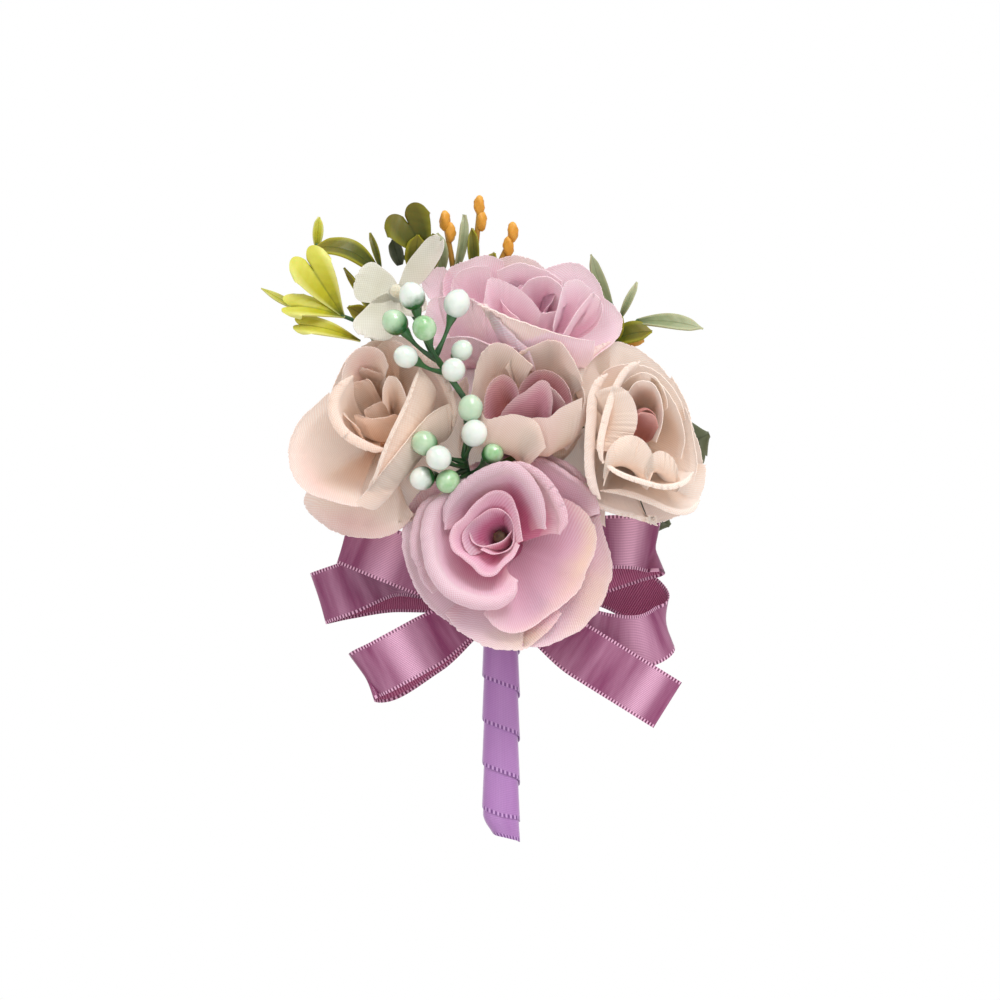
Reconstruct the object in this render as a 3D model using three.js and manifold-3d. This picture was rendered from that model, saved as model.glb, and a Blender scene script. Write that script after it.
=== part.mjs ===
// Pin-on corsage of cloth roses, moulded berries and leaves, a folded ribbon bow and a ribbon-wrapped
// stem of florist's wires, with a bar brooch on the back. Millimetres, +Z up, the front towards -Y.
// The origin is the middle of the brooch bar's rear face, which lies against the lapel.
import * as THREE from "three";
import { mergeVertices } from "three/addons/utils/BufferGeometryUtils.js";
import Module from "manifold-3d";

const wasm = await Module();
wasm.setup();

// Driving sizes
const spread = { width: 83, depth: 36, height: 92 }; // of the flowers and leaves; places are shares of it
const clearance = 0.35; // between pieces that touch
const cutGap = 0.3; // left round a piece where it cuts into the petals beside it
const overrun = 1; // how far a cutting tool runs past what it cuts
const sink = 0.4; // how deep a joined shape reaches into the one that carries it
const tidyTolerance = 0.08; // how far faces may move where slivers are taken out of a trimmed piece

const wire = { diameter: 0.8, gap: 0.12, sides: 5, bendSteps: 5 };
const bundle = { bottom: -22, top: 20 };
const tape = { thickness: 0.2, top: 19.6, bottom: -22.4, facets: 14 };
const ribbon = { width: 10, thickness: 0.25 };
const wrap = {
  pitch: 8.25,
  innerGap: 0.2, // to the tape inside it
  lapGap: 0.42, // from a turn to the one that laps over it
  frontSeam: -0.2, // where one turn's lower edge crosses the middle of the front
  turnsAbove: 1.6,
  turnsBelow: 3.6,
  stepsPerTurn: 16,
  squareness: 3,
  taperStart: -24.5,
  taperLength: 6,
  tipShare: 0.42,
  tipShift: 1.5,
};
const petalCloth = { thickness: 0.5, facetWidth: 5.2 };
const hub = { thickness: 0.75, radius: 3.4, pitch: 1.4, step: 0.3, facets: 7 };
const peg = { radius: 0.9, seat: 1.5, knobRadius: 1.5, knobHeight: 2.4, facets: 6 };
const calyx = { depth: 5, neckRadius: 1.4, cupRadius: 2.9, sepalReach: 9.5, sepalDroop: 1.6, sepals: 5 };
const leafPlastic = { width: 8, thickness: 0.6, along: 3, across: 2 };
const twig = { diameter: 1, sides: 4 };
const knob = { radius: 1, stretch: 1.8 };
const berry = { radius: 2.4, spacing: 0.9, neckRadius: 0.8, facets: 6, stretch: 1.06 };

// Colours and finishes
const finish = (color, roughness, metalness = 0) =>
  new THREE.MeshStandardMaterial({ color, roughness, metalness });
const pinkCloth = finish(0xdfa3bd, 0.85);
const peachCloth = finish(0xe3c2a8, 0.85);
const duskyCloth = finish(0xb57986, 0.85);
const creamCloth = finish(0xe6e2cf, 0.85);
const mauveSatin = finish(0x9a5278, 0.4);
const violetSatin = finish(0x8a58a0, 0.4);
const greenPlastic = finish(0x3c6b33, 0.5);
const limePlastic = finish(0xa9b31f, 0.5);
const olivePlastic = finish(0x6b6a1f, 0.5);
const orangePlastic = finish(0xc98a22, 0.5);
const darkLeaf = finish(0x38402f, 0.7);
const berryPaint = finish(0xdbe8de, 0.25);
const greenTape = finish(0x4f6b3c, 0.8);
const nickel = finish(0xb9bbbe, 0.3, 1);
const glue = finish(0xe8e2c8, 0.4);

// Solids
const up = new THREE.Vector3(0, 0, 1);
const vec = (x, y, z) => new THREE.Vector3(x, y, z);
const place = ([x, y, z]) => vec(x * spread.width, y * spread.depth, z * spread.height);
const fullTurn = 360; // degrees
const clamp01 = (x) => Math.min(1, Math.max(0, x));
const smooth = (x) => clamp01(x) ** 2 * (3 - 2 * clamp01(x));
const radians = THREE.MathUtils.degToRad;

// A closed geometry as a manifold-3d solid.
function solidOf(geometry) {
  const bare = new THREE.BufferGeometry().setAttribute("position", geometry.getAttribute("position").clone());
  if (geometry.index) bare.setIndex(geometry.index.clone());
  const merged = mergeVertices(bare);
  return new wasm.Manifold(
    new wasm.Mesh({
      numProp: 3,
      vertProperties: new Float32Array(merged.attributes.position.array),
      triVerts: new Uint32Array(merged.index.array),
    }),
  );
}

function geometryOf(solid) {
  const mesh = solid.getMesh();
  return new THREE.BufferGeometry()
    .setAttribute("position", new THREE.BufferAttribute(new Float32Array(mesh.vertProperties), 3))
    .setIndex(new THREE.BufferAttribute(new Uint32Array(mesh.triVerts), 1));
}

const join = (geometries) => geometries.map(solidOf).reduce((sum, next) => sum.add(next));

function mesh(name, shape, material) {
  const geometry = shape.isBufferGeometry ? shape : geometryOf(shape);
  const made = new THREE.Mesh(geometry, material);
  made.name = name;
  return made;
}

// A closed grid of rings: every ring has as many points, and both ends are capped by a fan.
function skin(rings) {
  const count = rings[0].length;
  const index = [];
  for (let j = 0; j + 1 < rings.length; j++)
    for (let i = 0; i < count; i++) {
      const [a, b] = [j * count + i, j * count + ((i + 1) % count)];
      index.push(a, b, b + count, a, b + count, a + count);
    }
  const last = (rings.length - 1) * count;
  for (let i = 1; i + 1 < count; i++) index.push(0, i + 1, i, last, last + i, last + i + 1);
  return facingOut(rings.flat(), index);
}

// The geometry with its faces turned out, by the sign of its volume.
function facingOut(points, index) {
  let volume = 0;
  for (let i = 0; i < index.length; i += 3) {
    const [a, b, c] = [points[index[i]], points[index[i + 1]], points[index[i + 2]]];
    volume += a.dot(b.clone().cross(c));
  }
  if (volume < 0)
    for (let i = 0; i < index.length; i += 3) [index[i], index[i + 1]] = [index[i + 1], index[i]];
  return new THREE.BufferGeometry().setFromPoints(points).setIndex(index);
}

// A thin closed sheet about the surface at(u, v), with u from -1 to 1 across it and v from 0 to 1 along it.
// Grown, it is that much bigger on both faces and past its rims, as a tool that keeps others off it.
function sheet(at, thickness, across, along, grown = 0) {
  const step = 0.002;
  const normal = (u, v) => {
    const [u0, u1] = [Math.max(-1, u - step), Math.min(1, u + step)];
    const [v0, v1] = [Math.max(0, v - step), Math.min(1, v + step)];
    return at(u1, v).sub(at(u0, v)).cross(at(u, v1).sub(at(u, v0))).normalize();
  };
  const rings = [];
  for (let j = 0; j <= along; j++) {
    const v = j / along;
    const row = (side, backwards) =>
      Array.from({ length: across + 1 }, (_, i) => {
        const u = (backwards ? across - i : i) * (2 / across) - 1;
        const point = at(u, v).addScaledVector(normal(u, v), side * (thickness / 2 + grown));
        const within = at(u * (1 - step), v);
        if (grown && Math.abs(u) === 1) point.addScaledVector(at(u, v).sub(within).normalize(), grown);
        if (grown && j === along) point.addScaledVector(at(u, v).sub(at(u, v - step)).normalize(), grown);
        return point;
      });
    rings.push([...row(1, false), ...row(-1, true)]);
  }
  return skinOfSheet(rings, across);
}

// The skin of a sheet's rings, whose ends are closed by strips and not by fans.
function skinOfSheet(rings, across) {
  const count = rings[0].length;
  const index = [];
  for (let j = 0; j + 1 < rings.length; j++)
    for (let i = 0; i < count; i++) {
      const [a, b] = [j * count + i, j * count + ((i + 1) % count)];
      index.push(a, b, b + count, a, b + count, a + count);
    }
  const last = (rings.length - 1) * count;
  for (let i = 0; i < across; i++) {
    const [a, b, c, d] = [i, i + 1, count - 2 - i, count - 1 - i];
    index.push(a, c, b, a, d, c);
    index.push(last + a, last + b, last + c, last + a, last + c, last + d);
  }
  return facingOut(rings.flat(), index);
}

function regularPolygon(radius, sides) {
  const turn = (i) => (2 * Math.PI * (i + 0.5)) / sides;
  const corner = (i) => new THREE.Vector2(Math.cos(turn(i)), Math.sin(turn(i))).multiplyScalar(radius);
  return new THREE.Shape(Array.from({ length: sides }, (_, i) => corner(i)));
}

// A round rod along a curve.
const rod = (extrudePath, diameter, sides, steps) =>
  new THREE.ExtrudeGeometry(regularPolygon(diameter / 2, sides), { steps, extrudePath, bevelEnabled: false });

const lathe = (profile, facets) =>
  new THREE.LatheGeometry(profile.map(([r, z]) => new THREE.Vector2(r, z)), facets).rotateX(Math.PI / 2);

// A ring about +Z from the height low to the height high.
const ring = (inner, outer, low, high, facets) =>
  lathe([[inner, low], [outer, low], [outer, high], [inner, high], [inner, low]], facets);

// Florist's wires, packed as a centre, a ring of six and six more in the ring's hollows
const wireSpacing = wire.diameter + wire.gap;
const slotAt = (ringNumber, degrees) => {
  const radius = [0, wireSpacing, Math.sqrt(3) * wireSpacing][ringNumber];
  return vec(radius * Math.cos(radians(degrees)), radius * Math.sin(radians(degrees)), 0);
};
const bundleRadius = Math.sqrt(3) * wireSpacing + wire.diameter / 2;
const tapeInner = bundleRadius + wire.gap;
const tapeOuter = tapeInner + tape.thickness;
const wrapInner = tapeOuter + wrap.innerGap;
const wrapSpan = wrapBandSpan();
const wrapSlant = (ribbon.thickness + wrap.lapGap) / (wrap.pitch / wrapSpan);
const wrapOuter = wrapInner + wrapSlant + ribbon.thickness;

// A path of one straight step up the bundle, a bend to where the wire is going, and a straight end.
class WirePath extends THREE.Curve {
  constructor(slot, target, arrival, rise, reach, end) {
    super();
    const start = slot.clone().setZ(bundle.bottom);
    const top = slot.clone().setZ(bundle.top);
    const arrive = target.clone().addScaledVector(arrival, -end);
    const before = arrive.clone().addScaledVector(arrival, -reach);
    this.steps = wire.bendSteps + 2;
    this.low = new THREE.LineCurve3(start, top);
    this.bend = new THREE.CubicBezierCurve3(top, top.clone().addScaledVector(up, rise), before, arrive);
    this.high = new THREE.LineCurve3(arrive, target);
  }
  getPoint(t) {
    const step = t * this.steps;
    if (step <= 1) return this.low.getPoint(step);
    if (step <= this.steps - 1) return this.bend.getPoint((step - 1) / wire.bendSteps);
    return this.high.getPoint(step - this.steps + 1);
  }
  getPointAt(t) {
    return this.getPoint(t);
  }
  getTangentAt(t) {
    return this.getTangent(t);
  }
}

function wireAlong(slot, target, arrival, rise, reach, end, grown = 0) {
  const path = new WirePath(slot, target, arrival, rise, reach, end);
  return rod(path, wire.diameter + 2 * grown, wire.sides, path.steps);
}

// The height that a turn of the wrap takes up, from the ribbon's width and its slope.
function wrapBandSpan() {
  const around = 2 * Math.PI * wrapInner;
  return ribbon.width / Math.cos(Math.atan(wrap.pitch / around));
}

// Petals: a profile from the hub to the rim, swept part of the way round the flower's axis
const petalNarrow = 0.42; // share of the width at the hub
const rootShare = 0.85; // of its part of the hub's rim that a petal's root takes
const lapShare = 1.2; // how fast petals widen against the room between them
const tuckShareOfLength = 0.25; // where a petal is fully tucked under one neighbour and over the other
const petalWidest = 0.6; // share of the length where the petal is widest
const petalTip = 0.3; // share of the width at the tip's end
const wrapLimit = 1.3; // radians that a petal may reach round to each side
const petalNotch = 0.02; // how much shorter the middle of a petal's rim is
const petalTuck = 0.7; // how far one side of a petal stands out over the next petal, and the other side in
const petalCurl = 0.5; // how far a petal's sides turn back
const petalRoll = 0.6; // how far its rim turns back

function petalOutline(v) {
  if (v < petalWidest) return petalNarrow + (1 - petalNarrow) * Math.sin((Math.PI / 2) * (v / petalWidest));
  return Math.sqrt(1 - (1 - petalTip ** 2) * clamp01((v - petalWidest) / (1 - petalWidest)) ** 2.4);
}

// A point of a petal in its flower's frame, whose +Z is the flower's axis.
function petalPoint(petal, u, v) {
  const along = clamp01(v) * (1 - petalNotch * (1 - Math.abs(u)) * smooth(v * 2 - 1));
  const here = petal.curve.getPoint(along);
  const slope = petal.curve.getTangent(along);
  const bend = Math.max(here.x * petal.cup, petal.root);
  const beyond = Math.max(0, here.x - petal.root);
  const room = Math.tan(Math.PI / petal.count) * (rootShare * petal.root + lapShare * beyond);
  const half = Math.min(petal.width * petalOutline(v), room);
  const turn = wrapLimit * Math.tanh((u * half) / bend / wrapLimit);
  const edge = smooth((Math.abs(u) - 0.45) / 0.55) * v;
  const tuck = petalTuck * u * smooth(v / tuckShareOfLength);
  const out = tuck + petalCurl * edge + petalRoll * smooth((v - 0.7) / 0.3);
  const reach = bend + out * slope.y;
  const radial = here.x - bend + reach * Math.cos(turn);
  const side = reach * Math.sin(turn);
  return vec(radial, side, here.y - out * slope.x).applyAxisAngle(up, petal.turn);
}

function petalOf(flower, form, count, base, root, [turn, reach, rise, wide]) {
  const [far, high] = [reach * flower.radius, rise * flower.height];
  const points = form.profileShares.map(([r, h]) => new THREE.Vector2(r * far, base + h * high));
  points[0].set(root - sink * 2, base);
  return {
    count,
    root,
    turn: radians(turn * fullTurn),
    cup: form.cup,
    width: wide * flower.radius,
    curve: new THREE.CubicBezierCurve(...points),
  };
}

// One layer of petals on its hub, as cut from one piece of cloth. Higher layers have smaller hubs.
function petalLayer(flower, { form, count, petals }, level, grown) {
  const low = clearance + level * hub.pitch;
  const root = hub.radius - level * hub.step;
  const hole = peg.radius + clearance;
  const disc = ring(hole - grown, root + grown, low - grown, low + hub.thickness + grown, hub.facets);
  const cloths = petals.map((petal) => {
    const made = petalOf(flower, form, count, low + hub.thickness / 2, root, petal);
    const at = (u, v) => petalPoint(made, u, v);
    const across = Math.max(2, Math.round(made.width / petalCloth.facetWidth));
    return sheet(at, petalCloth.thickness, across, form.along, grown);
  });
  return join([disc, ...cloths]);
}

// How petals run from the hub to the rim, as shares of their reach and rise, and how far they bend round
const openForm = { profileShares: [[0, 0], [0.7, -0.04], [0.8, 1.06], [1, 1]], cup: 0.95, along: 3 };
const cuppedForm = { profileShares: [[0, 0], [0.86, -0.04], [0.72, 0.98], [1, 1]], cup: 0.85, along: 3 };
const wallForm = { profileShares: [[0, 0], [1.02, -0.02], [0.84, 0.72], [1, 1]], cup: 0.85, along: 2 };
const closedForm = { profileShares: [[0, 0], [1.2, 0], [1.16, 0.62], [0.82, 1]], cup: 0.9, along: 2 };

// The flowers, from the front one backwards. Each petal has four shares: its turn of a full turn, its reach of
// the flower's radius, its rise of the flower's height, and its half width of the radius.
const flowers = [
  {
    name: "rose_low",
    cloth: pinkCloth,
    atShares: [0.019, -0.417, 0.276],
    axis: [-0.25, -0.92, 0.3],
    radius: 20,
    height: 10,
    slot: slotAt(2, 270),
    rise: 2,
    reach: 2,
    layers: {
      outer: { form: openForm, count: 6, petals: [
        [-0.106, 1.12, 0.65, 0.675], [-0.244, 1.065, 0.65, 0.65], [-0.389, 0.91, 0.7, 0.6],
        [0.472, 0.9, 0.75, 0.6], [0.3, 0.82, 0.85, 0.6], [0.117, 0.97, 0.8, 0.675],
      ] },
      middle: { form: openForm, count: 5, petals: [
        [-0.117, 0.94, 0.85, 0.7], [-0.319, 0.77, 0.86, 0.55], [0.494, 0.73, 0.9, 0.575],
        [0.306, 0.66, 1, 0.55], [0.106, 0.78, 0.94, 0.6],
      ] },
      inner: { form: cuppedForm, count: 4, petals: [
        [-0.367, 0.66, 0.94, 0.65], [0.2, 0.58, 1.1, 0.575], [-0.061, 0.55, 1, 0.5],
        [0.458, 0.57, 1.04, 0.5],
      ] },
      centre: { form: wallForm, count: 3, petals: [
        [-0.042, 0.42, 1.05, 0.45], [0.278, 0.41, 1.08, 0.425], [-0.375, 0.43, 1.02, 0.45],
      ] },
    },
  },
  {
    name: "rosebud",
    cloth: peachCloth,
    innerCloth: duskyCloth,
    atShares: [0.055, -0.431, 0.504],
    axis: [0.03, -0.84, 0.54],
    radius: 11,
    height: 12,
    slot: slotAt(1, 300),
    rise: 14,
    reach: 4,
    layers: {
      outer: { form: cuppedForm, count: 5, petals: [
        [-0.236, 1, 0.867, 1.091], [-0.022, 0.964, 0.958, 0.909], [0.172, 0.982, 1.042, 0.909],
        [0.356, 0.964, 1.042, 0.909], [-0.458, 0.927, 0.958, 0.909],
      ] },
      inner: { form: closedForm, count: 3, petals: [
        [-0.194, 0.491, 1.083, 0.727], [0.139, 0.545, 1, 0.727], [0.472, 0.527, 1.033, 0.727],
      ] },
    },
  },
  {
    name: "rose_left",
    cloth: peachCloth,
    atShares: [-0.258, -0.222, 0.493],
    axis: [-0.16, -0.84, 0.52],
    radius: 18,
    height: 12,
    slot: slotAt(2, 210),
    rise: 10,
    reach: 4,
    layers: {
      outer: { form: openForm, count: 6, petals: [
        [-0.272, 1.222, 0.333, 0.694], [-0.431, 0.944, 0.542, 0.75], [0.422, 0.867, 0.792, 0.667],
        [0.236, 0.917, 0.917, 0.667], [0.061, 0.944, 0.833, 0.694], [-0.117, 1, 0.708, 0.722],
      ] },
      middle: { form: cuppedForm, count: 5, petals: [
        [-0.411, 0.767, 0.875, 0.778], [0.361, 0.711, 1.033, 0.667], [0.153, 0.744, 1.05, 0.667],
        [-0.033, 0.811, 0.917, 0.722], [-0.222, 0.833, 0.833, 0.722],
      ] },
      inner: { form: wallForm, count: 4, petals: [
        [-0.394, 0.544, 0.958, 0.667], [0.311, 0.522, 1.083, 0.583], [0.039, 0.544, 1.083, 0.667],
        [-0.172, 0.589, 0.958, 0.667],
      ] },
      centre: { form: wallForm, count: 3, petals: [
        [-0.417, 0.344, 0.9, 0.417], [-0.097, 0.344, 0.9, 0.417], [0.25, 0.344, 0.967, 0.417],
      ] },
    },
  },
  {
    name: "rose_right",
    cloth: peachCloth,
    atShares: [0.275, -0.222, 0.487],
    axis: [0.16, -0.92, 0.3],
    radius: 16,
    height: 12,
    slot: slotAt(2, 330),
    rise: 10,
    reach: 4,
    layers: {
      outer: { form: openForm, count: 6, petals: [
        [-0.236, 1.1, 0.583, 0.812], [-0.083, 0.95, 0.708, 0.812], [0.078, 0.887, 0.792, 0.812],
        [0.236, 1.025, 0.792, 0.812], [0.417, 0.925, 0.875, 0.75], [-0.394, 0.963, 0.75, 0.75],
      ] },
      middle: { form: cuppedForm, count: 5, petals: [
        [-0.194, 0.85, 0.8, 0.844], [0, 0.838, 0.875, 0.812], [0.194, 0.863, 0.917, 0.812],
        [0.417, 0.775, 1.033, 0.844], [-0.389, 0.787, 0.875, 0.75],
      ] },
      inner: { form: wallForm, count: 4, petals: [
        [-0.208, 0.613, 0.883, 0.688], [0.056, 0.613, 0.958, 0.688], [0.292, 0.588, 1, 0.656],
        [0.494, 0.562, 1.083, 0.75],
      ] },
      centre: { form: wallForm, count: 3, petals: [
        [-0.264, 0.375, 0.833, 0.469], [0.069, 0.375, 0.875, 0.469], [0.417, 0.362, 0.933, 0.469],
      ] },
    },
  },
  {
    name: "rose_top",
    cloth: pinkCloth,
    atShares: [0.048, -0.042, 0.652],
    axis: [0.12, -0.66, 0.74],
    radius: 18,
    height: 13,
    slot: slotAt(1, 60),
    rise: 16,
    reach: 4,
    layers: {
      outer: { form: openForm, count: 6, petals: [
        [-0.244, 0.833, 0.846, 0.722], [-0.078, 0.944, 0.808, 0.722], [0.089, 1, 0.769, 0.722],
        [0.256, 0.972, 0.808, 0.722], [0.422, 1.056, 0.769, 0.722], [-0.367, 1.139, 0.5, 0.722],
      ] },
      middle: { form: cuppedForm, count: 5, petals: [
        [-0.181, 0.778, 1, 0.833], [0.028, 0.833, 1.038, 0.75], [0.208, 0.811, 1, 0.722],
        [0.389, 0.833, 1.038, 0.778], [-0.403, 0.833, 0.962, 0.778],
      ] },
      inner: { form: wallForm, count: 4, petals: [
        [-0.056, 0.544, 1.077, 0.667], [0.181, 0.567, 1.077, 0.611], [0.417, 0.567, 1.108, 0.611],
        [-0.306, 0.556, 1.062, 0.667],
      ] },
      centre: { form: wallForm, count: 3, petals: [
        [-0.167, 0.333, 0.923, 0.417], [0.167, 0.344, 0.962, 0.417], [0.5, 0.344, 0.962, 0.417],
      ] },
    },
  },
];

// The frame of a flower: its +Z is the flower's axis, and its +X lies as near to the part's +X as it can.
function flowerFrame(flower) {
  const axis = vec(...flower.axis).normalize();
  const right = vec(1, 0, 0).addScaledVector(axis, -axis.x).normalize();
  const over = axis.clone().cross(right);
  return new THREE.Matrix4().makeBasis(right, over, axis).setPosition(place(flower.atShares));
}

// The peg that holds the layers: pressed into the calyx, it ends in a knob above the innermost petals.
function flowerPeg(layerCount, grown) {
  const top = clearance + layerCount * hub.pitch;
  const { radius, seat, knobRadius, knobHeight } = peg;
  const profile = [
    [0, -seat - grown],
    [radius + grown, -seat - grown],
    [radius + grown, top],
    [knobRadius + grown, top + knobHeight * 0.35],
    [knobRadius * 0.8 + grown, top + knobHeight * 0.8],
    [0, top + knobHeight + grown],
  ];
  return lathe(profile, peg.facets);
}

// The calyx: a cup, bored for the wire and the peg, whose rim runs out into sepals under the petals.
function flowerCalyx(grown) {
  const wireBore = grown ? 0 : wire.diameter / 2 + clearance;
  const pegBore = grown ? 0 : peg.radius + clearance;
  const { depth, neckRadius, cupRadius, sepalReach, sepalDroop, sepals } = calyx;
  const seat = -peg.seat - clearance;
  const profile = [
    [wireBore, -depth - grown],
    [neckRadius + grown, -depth - grown],
    [cupRadius + grown, -leafPlastic.thickness * 2 - grown],
    [sepalReach + grown, -leafPlastic.thickness - grown],
    [sepalReach + grown, grown],
    [pegBore, grown],
    [pegBore, seat],
    [wireBore, seat],
    [wireBore, -depth - grown],
  ];
  const cup = lathe(profile, sepals * 2);
  const position = cup.getAttribute("position");
  for (let i = 0; i < position.count; i++) {
    const point = vec().fromBufferAttribute(position, i);
    if (Math.hypot(point.x, point.y) < sepalReach) continue;
    const valley = (cupRadius + sink) / sepalReach;
    if (Math.sin(Math.atan2(point.y, point.x) * sepals) > 0) point.z -= sepalDroop;
    else point.multiply(vec(valley, valley, 1));
    position.setXYZ(i, ...point.toArray());
  }
  return cup;
}

function flowerWire(flower, grown) {
  const axis = vec(...flower.axis).normalize();
  const target = place(flower.atShares).addScaledVector(axis, -peg.seat - clearance);
  return wireAlong(flower.slot, target, axis, flower.rise, flower.reach, calyx.depth, grown);
}

// Berries: each spray is a wire stem with branches that end in balls
const berrySprays = [
  {
    name: "berry_spray_upper",
    slot: slotAt(0, 0),
    forkShares: [-0.152, -0.611, 0.668],
    throughShares: [-0.084, -0.569, 0.582],
    rise: 16,
    reach: 8,
    ballShares: [
      [-0.196, -0.667, 0.779, 1],
      [-0.098, -0.667, 0.765, 1],
      [-0.234, -0.681, 0.727, 0.96],
      [-0.169, -0.75, 0.715, 0.92],
      [-0.087, -0.653, 0.672, 0.81],
      [-0.21, -0.722, 0.659, 0.88],
      [-0.105, -0.722, 0.633, 0.92],
    ],
  },
  {
    name: "berry_spray_lower",
    slot: slotAt(1, 240),
    forkShares: [-0.082, -0.597, 0.463],
    throughShares: [-0.072, -0.472, 0.417],
    rise: 10,
    reach: 6,
    ballShares: [
      [-0.067, -0.694, 0.557, 0.94],
      [-0.059, -0.722, 0.507, 0.98],
      [-0.169, -0.694, 0.487, 0.94],
      [-0.137, -0.75, 0.458, 0.96],
      [-0.173, -0.667, 0.417, 0.92],
      [-0.117, -0.681, 0.411, 0.92],
      [-0.019, -0.667, 0.465, 0.83],
    ],
  },
];

// A ball on a twig that flares into it, from the fork to the ball's far side.
function ballOn(fork, centre, radius, grown) {
  const away = centre.clone().sub(fork).normalize();
  const low = -centre.distanceTo(fork) - sink;
  const neck = berry.neckRadius + grown;
  const profile = [[0, low], [twig.diameter / 2 + grown, low], [neck, -radius * 0.95]];
  for (const degrees of [-48, 0, 48]) {
    const [across, along] = [Math.cos(radians(degrees)), Math.sin(radians(degrees))];
    profile.push([(radius + grown) * across, radius * berry.stretch * along]);
  }
  profile.push([0, radius * berry.stretch + grown]);
  const turned = new THREE.Quaternion().setFromUnitVectors(up, away);
  return lathe(profile, berry.facets).applyQuaternion(turned).translate(...centre.toArray());
}

const twigBetween = (from, to, grown) =>
  rod(new THREE.LineCurve3(from, to), twig.diameter + 2 * grown, twig.sides, 1);

function berrySpray(spray, grown) {
  const fork = place(spray.forkShares);
  const through = place(spray.throughShares);
  const heading = fork.clone().sub(through).normalize();
  const stem = wireAlong(spray.slot, fork, heading, spray.rise, spray.reach, through.distanceTo(fork), grown);
  const balls = spray.ballShares.map(([x, y, z, size], i) => {
    const start = fork.clone().addScaledVector(heading, -i * berry.spacing);
    return ballOn(start, place([x, y, z]), size * berry.radius, grown);
  });
  return join([stem, ...balls]);
}

// Leaves: a sheet from its base to its tip, with its upper face towards a given side
const leafOutlines = {
  narrow: (v) => 0.25 + 0.75 * Math.sin(Math.PI * (0.02 + 0.94 * v)) ** 0.8,
  oval: (v) => 0.2 + 0.8 * Math.sin(Math.PI * (0.06 + 0.86 * v)) ** 0.7,
  heart: (v) => {
    const widening = Math.sin((Math.PI / 2) * Math.min(1, v * 1.25));
    return 0.14 + 0.86 * widening * Math.sqrt(1 - 0.45 * smooth((v - 0.7) / 0.3));
  },
};

function leaf(plan, grown) {
  const { outline = "narrow", facing = [0, -1, 0], fold = 0.25, arch = 0.1, notch = 0 } = plan;
  const width = plan.widthShare * leafPlastic.width;
  const from = place(plan.baseShares);
  const line = place(plan.tipShares).sub(from);
  const length = line.length();
  const along = line.clone().normalize();
  const face = vec(...facing).addScaledVector(along, -along.dot(vec(...facing))).normalize();
  const side = along.clone().cross(face);
  const at = (u, v) => {
    const half = (width / 2) * leafOutlines[outline](v);
    const reach = length * v * (1 - notch * (1 - Math.abs(u) * 1.2) * smooth(v * 2 - 1));
    return from
      .clone()
      .addScaledVector(along, reach)
      .addScaledVector(side, u * half)
      .addScaledVector(face, arch * length * Math.sin(Math.PI * v) + fold * half * Math.abs(u));
  };
  if (outline === "heart")
    return sheet(at, leafPlastic.thickness, leafPlastic.across * 2, leafPlastic.along, grown);
  const rings = Array.from({ length: leafPlastic.along + 1 }, (_, i) => {
    const v = i / leafPlastic.along;
    const rib = face.clone().multiplyScalar(leafPlastic.thickness / 2 + grown);
    const rim = side.clone().multiplyScalar(grown);
    return [at(-1, v).sub(rim), at(0, v).add(rib), at(1, v).add(rim), at(0, v).sub(rib)];
  });
  return skin(rings);
}

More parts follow.
